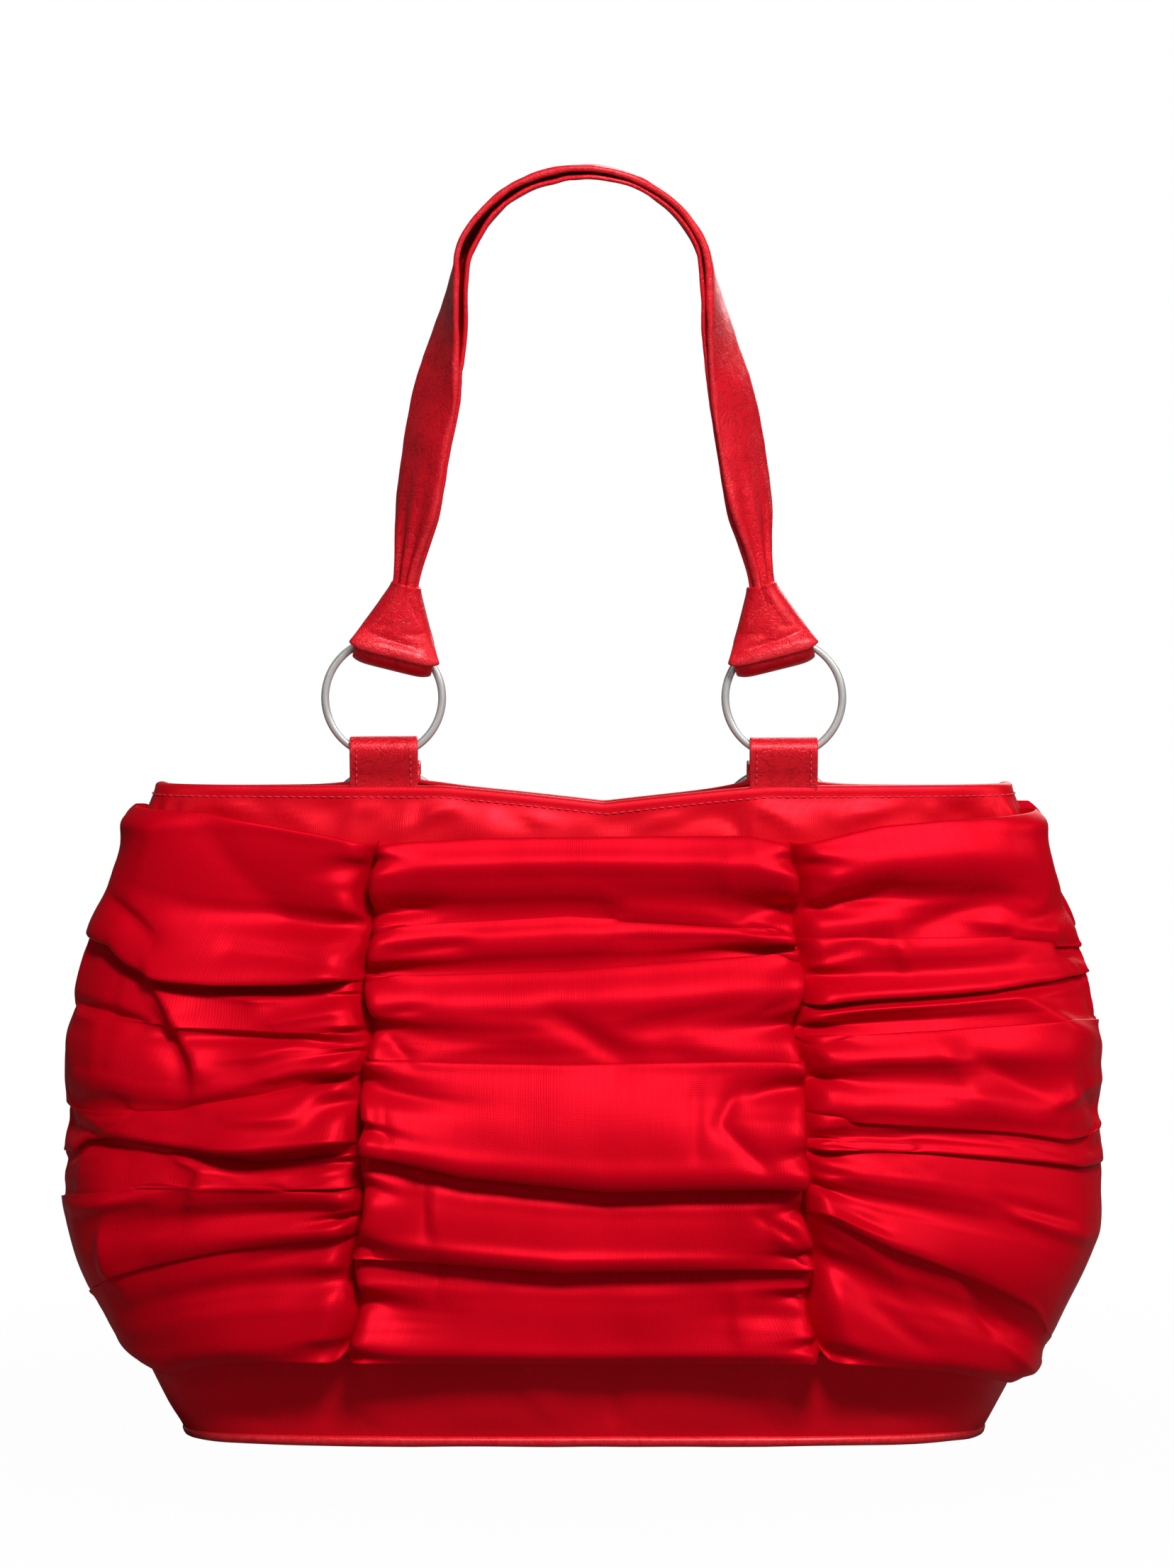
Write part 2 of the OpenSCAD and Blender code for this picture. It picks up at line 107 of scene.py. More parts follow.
def ease(t):
    t = np.clip(t, 0, 1)
    return t * t * (3 - 2 * t)


def mix(a, b, t):
    return a + (b - a) * t


def between(z, low, rise, high, fall):
    """Rises from 0 at low to 1 over one length, and falls to 0 at high over another."""
    return ease((z - low) / rise) * ease((high - z) / fall)


def swell(z, base, belly, mouth):
    low = mix(base, belly, np.sin(np.pi / 2 * np.clip(z, 0, BELLY_Z) / BELLY_Z))
    high = mix(belly, mouth, ease((z - BELLY_Z) / (BAND_Z - BELLY_Z)))
    return np.where(z <= BELLY_Z, low, high)


def half_w(z):
    """The sides stay wide up to the shoulders, while the front and back lean in."""
    shoulder = ease((z - BELLY_Z) / (BAG_H - BELLY_Z)) ** 2.5
    return np.where(z <= BELLY_Z, swell(z, BASE_W, BELLY_W, MOUTH_W), mix(BELLY_W, MOUTH_W, shoulder)) / 2


def half_d(z):
    return swell(z, BASE_D, BELLY_D, MOUTH_D) / 2


def square(z):
    return mix(BASE_SQUARE, MOUTH_SQUARE, ease(z / BAND_Z))


def outline(z, angle, off=0.0):
    """Points of the body at height z in a direction, moved out by off."""
    z, angle, off = np.broadcast_arrays(np.asarray(z, float), angle, off)
    n, c, s = square(z), np.cos(angle), np.sin(angle)
    r = (np.abs(c) ** n + np.abs(s) ** n) ** (-1 / n)
    return np.stack([(half_w(z) + off) * r * c, (half_d(z) + off) * r * s, z], -1)


def front_angle(z, x):
    n, p = square(z), np.clip(np.abs(x) / half_w(z), 0, 1)
    return np.arctan2(-((1 - p**n) ** (1 / n)), np.sign(x) * p)


RIM_DIP, RIM_DIP_X, RIM_DIP_REACH = 6.2, 8.0, 62.0
BACK_SAG = 2.6


def bump(x, middle, reach):
    return np.exp(-(((x - middle) / reach) ** 2))


def rim_z(angle):
    """The rim sags in a soft V between the tabs, and a little more at the back."""
    x = outline(BAG_H, angle)[..., 0]
    near = np.clip(1 - np.abs(x - RIM_DIP_X) / RIM_DIP_REACH, 0, 1)
    back = BACK_SAG * np.clip(2 * np.sin(angle), 0, 1) * (1 - bump(np.abs(x), TAB_X, 17.0))
    return BAG_H - RIM_DIP * near**1.15 - back


# Mesh helpers

OPPOSITE = {"left": "right", "centre": "centre", "right": "left"}


def circle(count):
    """Directions evenly spaced round a full turn."""
    return np.linspace(0, 2 * np.pi, count, endpoint=False)


def unit(v):
    return v / np.linalg.norm(v, axis=-1, keepdims=True)


def distance_along(path):
    return np.concatenate([[0], np.cumsum(np.linalg.norm(np.diff(path, axis=0), axis=1))])


def turn_back(points):
    """The back of the bag repeats the front, half a turn round."""
    return points * np.array([-1.0, -1.0, 1.0])


def swing(points, angle, y, z):
    """Turns points about a line along X, towards -Y from upright."""
    c, s = math.cos(angle), math.sin(angle)
    dy, dz = points[..., 1] - y, points[..., 2] - z
    return np.stack([points[..., 0], y + dy * c - dz * s, z + dy * s + dz * c], -1)


def bent_swing():
    """Where the back rings swing, from the line that the front rings swing about."""
    return np.array([0, BEND_R * (math.cos(BEND_TURN) - 1) - BEND_TAIL * math.sin(BEND_TURN),
                     BEND_Z + BEND_R * math.sin(BEND_TURN) + BEND_TAIL * math.cos(BEND_TURN) - SWING_Z])


def hang_ring(points):
    return turn_back(swing(points, RING_HANG, TAB_Y, SWING_Z) + bent_swing())


def hang_strap(points):
    return hang_ring(swing(points, STRAP_HANG, TAB_Y, STRAP_SWING_Z))


def grid_faces(n, m, wrap_n=False, wrap_m=False, first=0):
    faces = []
    for i in range(n if wrap_n else n - 1):
        for j in range(m if wrap_m else m - 1):
            k, l = (i + 1) % n, (j + 1) % m
            faces.append((first + i * m + j, first + i * m + l, first + k * m + l, first + k * m + j))
    return faces


def tube_faces(n, m, first=0):
    """Faces of a tube of n closed sections of m points, with both ends shut."""
    last = first + (n - 1) * m
    ends = [tuple(range(k, k + m)) for k in (first, last)]
    return grid_faces(n, m, wrap_m=True, first=first) + ends


def add_mesh(name, points, faces, material, body, replaces=(), cloth=None, edge=None):
    mesh = bpy.data.meshes.new(name)
    mesh.from_pydata((np.asarray(points).reshape(-1, 3) * MM).tolist(), [], faces)
    if cloth is not None:
        at = mesh.attributes.new("cloth", "FLOAT_VECTOR", "POINT")
        at.data.foreach_set("vector", np.asarray(cloth, np.float32).reshape(-1))
    # The edge attribute marks where leather is lightened: rubbed wear and a painted highlight
    if edge is not None:
        at = mesh.attributes.new("edge", "FLOAT", "POINT")
        at.data.foreach_set("value", np.asarray(edge, np.float32).reshape(-1))
    tidy = bmesh.new()
    tidy.from_mesh(mesh)
    bmesh.ops.recalc_face_normals(tidy, faces=tidy.faces)
    tidy.to_mesh(mesh)
    tidy.free()
    mesh.shade_smooth()
    mesh.materials.append(material)
    piece = bpy.data.objects.new(name, mesh)
    bpy.context.scene.collection.objects.link(piece)
    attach(piece, body)
    if replaces:
        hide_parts(*replaces)
    return piece


def subdivide(piece):
    smooth = piece.modifiers.new("smooth", "SUBSURF")
    smooth.levels = smooth.render_levels = 1


def lengths(points, axis):
    return np.linalg.norm(np.diff(points, axis=axis), axis=-1).sum(axis)


def cloth_coords(points):
    """Distances along the cloth, across and down, for the weave."""
    across = np.linalg.norm(np.diff(points, axis=0), axis=-1)
    down = np.linalg.norm(np.diff(points, axis=1), axis=-1)
    across = np.concatenate([np.zeros_like(across[:1]), across.cumsum(0)])
    down = np.concatenate([np.zeros_like(down[:, :1]), down.cumsum(1)], 1)
    return np.stack([across, down, np.zeros_like(down)], -1)


def add_sheet(name, points, material, replaces, wrap=False, flat=None, cloth=None):
    n, m = points.shape[:2]
    if cloth is None:
        cloth = cloth_coords(points)
    piece = add_mesh(name, points, grid_faces(n, m, wrap_n=wrap), material, "bag", replaces, cloth)
    if flat is None:
        around = np.concatenate([points, points[:1]]) if wrap else points
        flat = (lengths(around, 0).mean(), lengths(points, 1).mean())
    return piece


def soft_noise(seed, shape, cells):
    """Smooth noise of about unit size on a grid, from a coarse one."""
    rng = np.random.default_rng(seed)
    coarse = rng.normal(0, 1, (cells[0] + 3, cells[1] + 3))

    def weights(n, cell):
        at = np.linspace(0, cell - 1e-6, n)
        i = at.astype(int)
        t = at - i
        return i, [(1 - t) ** 3 / 6, (3 * t**3 - 6 * t**2 + 4) / 6,
                   (-3 * t**3 + 3 * t**2 + 3 * t + 1) / 6, t**3 / 6]

    i, wi = weights(shape[0], cells[0])
    j, wj = weights(shape[1], cells[1])
    out = np.zeros(shape)
    for a in range(4):
        for b in range(4):
            out += coarse[np.ix_(i + a, j + b)] * wi[a][:, None] * wj[b][None]
    return out * 1.8


def crease_lift(a, b, creases):
    """Folds and grooves along short lines on a face measured by (a, b). Each is
    (a, b) at its start and at its end, its width and how far it stands out. A
    fold falls off steeply on the right of its line."""
    lift = np.zeros(np.broadcast(a, b).shape)
    for a0, b0, a1, b1, width, height in creases:
        da, db = a1 - a0, b1 - b0
        t = np.clip(((a - a0) * da + (b - b0) * db) / (da * da + db * db), 0, 1)
        blunt = 0.2 * width
        away = np.sqrt((a - a0 - t * da) ** 2 + (b - b0 - t * db) ** 2 + blunt**2) - blunt
        right = (db * (a - a0) - da * (b - b0)) / math.hypot(da, db)
        steep = np.clip(0.5 + right / (0.4 * width), 0, 1)
        reach = width * (mix(1.1, 0.32, steep) if height > 0 else 0.62)
        lift += height * np.exp(-away / reach) * np.sqrt(np.sin(np.pi * (0.12 + 0.76 * t)))
    return lift


FLARE, FLARE_X, FLARE_Z = 3.2, 132.0, 229.0


def flare(x, z):
    """The cloth stands out at the shoulders, under the ends of the rim."""
    return FLARE * ease((np.abs(x) - FLARE_X) / 20) * bump(z, FLARE_Z, 8.0)


# Ruching: each panel is a longer cloth gathered on its seams. Its folds are
# laid out from the creases below and then settled under their own weight.
# Panel space: u across from 0 to 1, z up, h out from the body.

# Creases from the top edge down to the hem. A pocket is where the cloth above
# tucks behind the fold below, and a droop is where it hangs over it. Each
# point is (u, z), with how deep the crease is there where it isn't full.
CENTRE_CREASES = [
    ("edge", [(0, 221), (0.25, 222.5), (0.9, 223.5), (1, 221)]),
    ("pocket", [(0, 190.6), (0.46, 194.5), (1, 189.3)]),
    ("pocket", [(0, 172.9), (0.45, 175), (0.73, 178.4), (1, 182)]),
    ("pocket", [(0, 144.6), (0.2, 143), (0.45, 142.2), (0.7, 143), (1, 143.5)]),
    ("droop", [(0, 112), (0.23, 102), (0.55, 96.5), (1, 98)]),
    ("droop", [(0, 72.3), (0.45, 66.6), (1, 68)]),
    ("hem", [(0, 33.5), (0.5, 32.5), (1, 33.5)]),
]
LEFT_CREASES = [
    ("edge", [(0, 233), (0.54, 232), (0.72, 228), (1, 221)]),
    ("droop", [(0, 187), (0.36, 183), (0.45, 178, 0.6), (0.6, 171.5, 0.5), (0.72, 170, 0.6), (1, 170, 0.9)]),
    ("droop", [(0, 162), (0.1, 160, 0.7), (0.2, 158, 0), (1, 152, 0)]),
    ("pocket", [(0, 125), (0.39, 124), (0.61, 126), (0.79, 131.6), (1, 137)]),
    ("droop", [(0, 106, 0.7), (0.23, 108, 0.8), (0.3, 113), (0.46, 114), (0.61, 112),
               (0.78, 109), (1, 113)]),
    ("pocket", [(0, 90, 0.9), (0.2, 92, 0.8), (0.44, 95, 0.3), (0.56, 98, 0), (1, 98, 0.2)]),
    ("droop", [(0, 52, 0), (0.36, 60, 0), (0.54, 67, 0.4), (0.75, 74, 0.7), (1, 80, 0.9)]),
    ("hem", [(0, 38), (0.2, 33), (0.42, 27), (0.49, 26), (0.61, 30), (0.75, 33.5), (1, 33.5)]),
]
RIGHT_CREASES = [
    ("edge", [(0, 221), (0.05, 222), (0.21, 227), (0.38, 229), (1, 232)]),
    ("pocket", [(0, 186.7), (0.5, 186.7), (0.72, 184), (1, 181.5)]),
    ("droop", [(0, 163), (0.31, 166), (0.51, 169), (0.72, 171), (1, 172)]),
    ("pocket", [(0, 151), (0.38, 155), (0.6, 157, 0.7), (0.8, 156, 0.3), (1, 155, 0.5)]),
    ("pocket", [(0, 124.5), (0.14, 123), (0.44, 119), (0.59, 115, 0.8), (1, 117)]),
    ("droop", [(0, 111.5), (0.21, 110), (0.39, 107.4), (0.66, 102.7), (1, 103)]),
    ("droop", [(0, 87), (0.14, 75, 0.5), (0.33, 63, 0.25), (0.51, 52, 0.1), (0.64, 43, 0), (1, 33, 0)]),
    ("hem", [(0, 33.5), (0.29, 29.5), (0.44, 25.7), (0.57, 23), (1, 27)]),
]
# Ridges and grooves across the folds, by x and z as the front shows them
CENTRE_FOLDS = [
    (-71, 198, -56, 196, 3, -1.8), (52, 212, 53, 198, 5, 0.6),
    (-72, 181, -44, 184, 4, -1.8), (-10, 159, 11, 146, 9, -2.0),
    (19, 155, 64, 164, 8, -1.4), (-75, 152, -65, 144, 4, -2.5), (55, 131, 50, 121, 4, -1.8),
    (50, 121, 67, 105, 4, -1.8), (62, 131, 76, 135, 3, -1.8), (41, 133, 41, 111, 4, -1.0),
    (-75, 130, -72, 114, 3, -1.5), (-60, 99, -58, 83, 5, -2.4), (64, 87, 76, 80, 3, -2.0),
    (69, 83, 79, 71, 3, 1.5), (-56, 92, -55, 82, 3, 1.4), (-74, 160, -60, 162, 3, -1.5),
    (66, 160, 78, 166, 3, -1.8), (66, 199, 77, 196, 3, -1.2), (-53, 70, -55, 58, 3, -1.0),
    (55, 60, 56, 44, 4, 0.9),
]
LEFT_FOLDS = [
    (-138, 222, -111, 193, 12, -0.9), (-111, 193, -78, 186, 6, -0.9), (-130, 183, -79, 176, 4, -0.8),
    (-174, 199, -158, 186, 4, -1.4), (-157, 174, -119, 165, 7, 1.0), (-119, 165, -79, 169, 7, 1.0),
    (-112, 157, -79, 163, 5, 1.0), (-157, 173, -149, 158, 5, 1.2), (-149, 158, -141, 142, 5, 1.3),
    (-141, 142, -141, 134, 5, 1.1), (-119, 145, -82, 156, 6, 1.0), (-141, 129, -111, 137, 5, 1.0),
    (-111, 137, -80, 144, 5, 1.0), (-187, 161, -163, 156, 3, -2.0), (-160, 160, -146, 140, 6, -1.2),
    (-189, 118, -168, 110, 7, -1.3), (-148, 108, -138, 104, 4, 1.1), (-138, 104, -143, 90, 5, 1.2),
    (-137, 111, -119, 111, 4, 1.0), (-119, 111, -79, 115, 4, 1.0), (-140, 105, -100, 104, 4, -0.7),
    (-129, 122, -104, 123, 4, 0.8), (-80, 79, -124, 70, 5, -1.2), (-187, 88, -156, 94, 4, 1.2),
    (-176, 80, -175, 64, 4, 1.0), (-84, 60, -83, 38, 4, 0.7), (-79, 186, -92, 184, 3, -0.9),
    (-79, 205, -90, 204, 3, -0.7), (-79, 104, -92, 101, 3, -0.9), (-90, 93, -79, 95, 3, 0.7),
    (-79, 150, -96, 148, 3, -1.0), (-79, 130, -98, 128, 3, -1.0),
]
RIGHT_FOLDS = [
    (85, 195, 113, 205, 5, -1.3), (125, 191, 154, 199, 7, -1.3), (147, 191, 172, 188, 4, 0.8),
    (114, 186, 117, 176, 4, 0.8), (158, 190, 180, 196, 5, -1.0), (79, 177, 102, 183, 4, -0.9),
    (185, 151, 157, 165, 6, 1.2), (141, 147, 172, 128, 9, -1.5), (172, 125, 187, 131, 4, 0.9),
    (128, 150, 145, 130, 9, 0.7), (79, 134, 92, 138, 3, -1.0), (92, 132, 134, 129, 6, -0.8),
    (157, 87, 183, 77, 5, 1.3), (153, 92, 178, 84, 5, -1.1), (139, 66, 159, 46, 7, -1.3),
    (92, 92, 109, 84, 4, -0.9), (80, 92, 102, 74, 5, 1.1), (102, 74, 121, 57, 7, 0.8),
    (154, 41, 167, 23, 5, 1.0), (145, 54, 157, 38, 5, -1.0), (79, 210, 88, 207, 3, -1.0),
    (79, 146, 90, 145, 3, 0.7), (79, 105, 95, 103, 3, -1.0), (183, 133, 189, 122, 3, -1.0),
    (100, 60, 125, 40, 6, -0.7), (79, 170, 98, 172, 3, -0.9), (79, 117, 98, 115, 3, -0.8),
]
CENTRE_WIDTH, SIDE_WIDTH = 158.0, 140.0
CENTRE_COLUMNS, SIDE_COLUMNS, FOLD_ROWS = 80, 72, 190
# How far a full fold stands out, how close the cloth may lie, and its room off the wall
FOLD_FULL, SEAT, CLOTH_GAP = 10.5, 0.8, 1.5
# How soon the folds reach their full depth from a gathered and from a side seam
GATHER_RISE, SIDE_RISE = 2.6, 45.0
# How far the cloth billows beside a side seam, and stands off at a gathered seam's hem
BILLOW, HEM_STAND = 7.0, 5.5
# Pleats at a gathered seam: how many, how high the fine and the broad ones are, how far
# the fine ones lean, and how far out they are highest
PLEATS, FINE_PLEAT, BROAD_PLEAT, FINE_LEAN = 16, 2.6, 2.3, 1.1
FINE_REACH, CENTRE_REACH, SIDE_REACH = 3.5, 10.0, 22.0
# How strongly the ridges and grooves show
CENTRE_RIDGE, SIDE_RIDGE = 1.2, 2.6
# The cloth is cut a little wider and longer than its laid folds
SPARE_WIDTH, SPARE_LENGTH = 1.015, 1.02
# How the cloth settles: steps, its weight a step, the room between its layers, the share
# of its speed that it keeps, and its greatest speed
SETTLE_STEPS, SETTLE_PASSES = 60, 2
CLOTH_WEIGHT, LAYER_ROOM, KEPT_SPEED, TOP_SPEED = 0.0015, 1.5, 0.93, 0.6


def fold_top(kind, top, tall, a, over):
    """Points at the top of a fold that stands out by a, and how far out it starts."""
    if kind == "edge":
        return [(top - 4, SEAT, 1), (top - 0.9, 0.12 * a + 0.7, 0.5), (top, 0.2 * a + 1.2, 0.4),
                (top - 1.0, 0.3 * a + 1.5, 0.2)], 0.5 * a
    if kind == "pocket":
        return [(top - 1.3, mix(0.93, 0.5, over) * a, 0.1), (top, mix(0.93, 0.6, over) * a, 0.25),
                (top - 1.2, mix(0.93, 0.68, over) * a, 0.1)], mix(0.95, 0.7, over) * a
    return [(top - 0.12 * tall, mix(0.95, 0.26, over) * a, 0)], mix(0.95, 0.32, over) * a


def fold_foot(kind, low, tall, next_tall, a, d, rise):
    """Points at the foot of a fold, where a crease of depth d or the hem is."""
    if kind == "pocket":
        lip = min(4.0, 0.15 * next_tall) * rise * d
        return [(low + 0.05 * tall, mix(0.93, 0.4, d) * a, 0),
                (low - 1.8 * lip, mix(0.93, 0.14, d) * a + SEAT, d)]
    if kind == "droop":
        sag = min(5.5, 0.18 * tall) * rise * d
        return [(low + 0.05 * tall + 0.5 * sag, mix(0.95, 1, d) * a, 0), (low, mix(0.95, 0.8, d) * a, 0),
                (low + 0.6 * sag, mix(0.94, 0.42, d) * a, 0.1),
                (low + 1.6 * sag, SEAT + mix(0.93, 0.1, d) * a, d)]
    return [(low + 0.12 * tall, 0.96 * a, 0), (low + 1.5, 0.84 * a, 0.05), (low, 0.76 * a, 0.1),
            (low + 1.4, 0.66 * a, 0.1), (low + 5, 0.3 * a, 0.2), (low + 9, SEAT, 1)]


def fold_points(u, rise, grip, creases):
    """The folds down one column, as rows of (z, h, how firmly it is held)."""
    kinds = [kind for kind, _ in creases]
    z, deep = [], []
    for _, line in creases:
        at = [p[0] for p in line]
        z.append(np.interp(u, at, [p[1] for p in line]))
        deep.append(grip * np.interp(u, at, [p[2] if len(p) > 2 else 1 for p in line]))
    high = [z[k] - z[k + 1] for k in range(len(z) - 1)]
    full = [FOLD_FULL * np.clip(h / 30, 0.5, 1.12) * (0.2 + 0.8 * rise) for h in high]
    # Where a crease runs out, the folds above and below it are one
    for k in range(1, len(full)):
        full[k] = mix(full[k - 1], full[k], min(1.3 * deep[k], 1))
    points = []
    for k, tall in enumerate(high):
        a, top, low, d = full[k], z[k], z[k + 1], deep[k + 1]
        head, start = fold_top(kinds[k], top, tall, a, deep[k])
        points += head
        # The cloth falls back towards a pocket and comes forward over a droop
        into = d if kinds[k + 1] == "pocket" else 0
        for share, out in ((0.28, 0.92), (0.5, 0.82), (0.72, 0.64)):
            forward = mix(start, 0.98 * a, share)
            points.append((mix(top, low, share), mix(forward, out * a, into), 0))
        next_tall = high[k + 1] if k + 1 < len(high) else 0
        points += fold_foot(kinds[k + 1], low, tall, next_tall, a, d, rise)
    return np.array(points)


def smooth_rows(points, rows, spans):
    """Rows of a smooth curve through the points of every column."""
    q = np.concatenate([2 * points[:, :1] - points[:, 1:2], points, 2 * points[:, -1:] - points[:, -2:-1]], 1)
    along = np.concatenate([[0], np.cumsum(spans)])
    at = np.linspace(0, along[-1], rows)
    k = np.clip(np.searchsorted(along, at, "right") - 1, 0, len(spans) - 1)
    t = ((at - along[k]) / spans[k])[None, :, None]
    a, b, c, d = (q[:, k + i] for i in range(4))
    return 0.5 * (2 * b + (c - a) * t + (2 * a - 5 * b + 4 * c - d) * t**2 + (3 * b - a - 3 * c + d) * t**3)


def cloth_links(home, free):
    """Pairs of points that keep their distance: along and across the cloth, near
    and, less firmly, further off to stiffen it, and on its diagonals."""
    links, every = [], slice(None)

    def link(a, b, firm):
        rest = np.linalg.norm(home[b] - home[a], axis=-1, keepdims=True)
        share = firm / np.maximum(free[a] + free[b], 1e-9)
        links.append((a, b, rest, share * free[a], share * free[b]))

    for reach, firm in ((1, 1.0), (2, 0.3), (4, 0.15)):
        for o in range(2 * reach):
            first, second = slice(o, -reach, 2 * reach), slice(o + reach, None, 2 * reach)
            link((every, first), (every, second), firm)
            link((first, every), (second, every), firm)
    for o in (0, 1):
        first, second = slice(o, -1, 2), slice(o + 1, None, 2)
        link((first, slice(None, -1)), (second, slice(1, None)), 0.3)
        link((first, slice(1, None)), (second, slice(None, -1)), 0.3)
    return links


def part_layers(x, free):
    """Layers of the cloth push each other apart."""
    row = np.arange(x.shape[1])
    apart = np.abs(row[:, None] - row[None]) > 4
    p = x[..., 1:]
    d = p[:, :, None] - p[:, None]
    r = np.sqrt((d * d).sum(-1)) + 1e-9
    close = apart[None] & (r < LAYER_ROOM)
    push = np.where(close, 0.5 * (LAYER_ROOM - r) / r, 0.0)[..., None] * d
    x[..., 1:] += 0.5 * free * push.sum(2)


def settle(x, free, hold):
    """Lets the gathered cloth settle under its own weight. It keeps its size
    and most of its folds, and its layers stay apart."""
    home = x.copy()
    speed = np.zeros_like(x)
    weight = np.array([0, -CLOTH_WEIGHT, 0.0])
    links = cloth_links(home, free)
    for step in range(SETTLE_STEPS):
        before = x.copy()
        speed = KEPT_SPEED * speed + weight
        x += free * speed
        for _ in range(SETTLE_PASSES):
            for a, b, rest, wa, wb in links:
                d = x[b] - x[a]
                n = np.sqrt((d * d).sum(-1, keepdims=True)) + 1e-9
                d *= (n - rest) / n
                x[a] += wa * d
                x[b] -= wb * d
        x += hold * free * (home - x)
        if step % 3 == 2:
            part_layers(x, free)
        x[..., 2] = np.maximum(x[..., 2], SEAT)
        speed = x - before
        fast = np.linalg.norm(speed, axis=-1, keepdims=True)
        speed *= np.minimum(1, TOP_SPEED / (fast + 1e-9))
    return x


def pleat_phase(rng, pleats):
    step = np.cumsum(rng.uniform(0.5, 1.5, FOLD_ROWS))
    return step / step[-1] * pleats * 2 * np.pi


def pleat(phase):
    """Round ridges with narrow grooves between them."""
    return 1.3 - 2 * np.exp(-((np.sin(phase / 2) / 0.45) ** 2))


def swelling(away, highest):
    """Rises from a seam to 1 at the highest place, and dies away beyond it."""
    return away / highest * np.exp(1 - away / highest)


def add_pleats(x, z, width, seed, left, right):
    """Pleats start at a gathered seam and run out into the panel, further where
    its other edge is a side seam. Beside a side seam the cloth billows."""
    rng = np.random.default_rng(seed)
    reach = CENTRE_REACH if left and right else SIDE_REACH
    us = np.linspace(0, 1, len(x))[:, None]
    for gathered, away in ((left, us * width), (right, (1 - us) * width)):
        fine, broad = pleat_phase(rng, PLEATS), pleat_phase(rng, PLEATS // 2)
        if gathered:
            small, large = swelling(away, FINE_REACH), swelling(away, reach)
            x[..., 2] += FINE_PLEAT * small * pleat(fine) + BROAD_PLEAT * large * pleat(broad)
            x[..., 1] += FINE_LEAN * small * np.cos(fine)
        else:
            round_off = np.sqrt(1 - (1 - np.clip(away / 12, 0, 1)) ** 2) * (1 - ease((away - 50) / 70))
            x[..., 2] += BILLOW * round_off * between(z, 34, 50, 238, 12)


def sew_edges(x, z, left, right):
    """Lays the edges along their seams. A gathered seam stands off the body at the hem."""
    for edge, gathered in ((0, left), (-1, right)):
        x[edge, :, 1] = np.sort(z[edge])[::-1]
        x[edge, :, 2] = SEAT + (HEM_STAND * ease((64 - x[edge, :, 1]) / 30) if gathered else 0)
    x[:, 0, 2] = x[:, -1, 2] = SEAT
    x[..., 2] = np.maximum(x[..., 2], SEAT)


def gather(width, columns, creases, folds, seed, left, right):
    """Settles one gathered panel. Gives its grid and the size it was cut to.
    left and right are 0 at a side seam."""
    centre = left and right
    us = np.linspace(0, 1, columns)
    rise = 1 - np.exp(-us * width / (GATHER_RISE if left else SIDE_RISE))
    rise *= 1 - np.exp(-(1 - us) * width / (GATHER_RISE if right else SIDE_RISE))
    # Creases run out towards a side seam
    seam = us * width if not left else (1 - us) * width if not right else np.full(columns, 99.0)
    grip = mix(0.25, 1, ease(seam / 30))
    points = np.array([fold_points(u, r, g, creases) for u, r, g in zip(us, rise, grip)])
    spans = np.linalg.norm(np.diff(points[:, :, :2], axis=1), axis=-1)
    cut = spans.sum(1).max() * SPARE_LENGTH
    curve = smooth_rows(points, FOLD_ROWS, np.maximum(spans.mean(0), 0.6) ** 0.6)
    x = np.zeros((columns, FOLD_ROWS, 3))
    x[..., 0] = (us * width)[:, None]
    x[..., 1:] = curve[..., :2]
    z = curve[..., 0]
    add_pleats(x, z, width, seed, left, right)
    seen = lay_on_body(x, width, left, right)[..., 0]
    x[..., 2] += (CENTRE_RIDGE if centre else SIDE_RIDGE) * crease_lift(seen, z, folds)
    x[..., 2] += (0.2 if centre else 0.4) * rise[:, None] * soft_noise(seed, x.shape[:2], (5, 22))
    x[..., 2] += 0.15 * soft_noise(seed + 20, x.shape[:2], (columns // 4, FOLD_ROWS // 6))
    sew_edges(x, z, left, right)
    free = np.zeros((columns, FOLD_ROWS, 1))
    free[1:-1, 1:-1] = 1
    hold = np.clip(curve[..., 2:], 0, 1) ** 2 * 0.06
    x = settle(x, free, hold)
    around = (x[:-2, 1:-1] + x[2:, 1:-1] + x[1:-1, :-2] + x[1:-1, 2:]) / 4
    x[1:-1, 1:-1] = mix(x[1:-1, 1:-1], around, 0.06)
    return x, (width * SPARE_WIDTH, cut)


def ruche_x(z):
    """A gathered seam, which the gathers pull to and fro."""
    pull = 1.1 * np.sin(z / 5.3 + 0.7) + 0.9 * np.sin(z / 8.9)
    return mix(RUCHE_X_HEM, RUCHE_X_TOP, np.clip(z / BAG_H, 0, 1)) + pull


def lay_on_body(x, width, left, right):
    """Moves a panel onto the body. left and right are -1 or 1 at a gathered
    seam and 0 at a side seam."""
    u, z, h = x[..., 0] / width, x[..., 1], x[..., 2]
    start = front_angle(z, left * ruche_x(z)) if left else SEAM_ANGLE - np.pi
    end = front_angle(z, right * ruche_x(z)) if right else -SEAM_ANGLE
    angle = mix(start, end, u)
    # At a side seam the cloth is sewn down
    seam = 99.0 if left and right else (width - x[..., 0] if left else x[..., 0])
    sewn = mix(0.2, 1, ease(seam / 7.0))
    return outline(z, angle, (h + CLOTH_GAP) * sewn + flare(outline(z, angle)[..., 0], z))


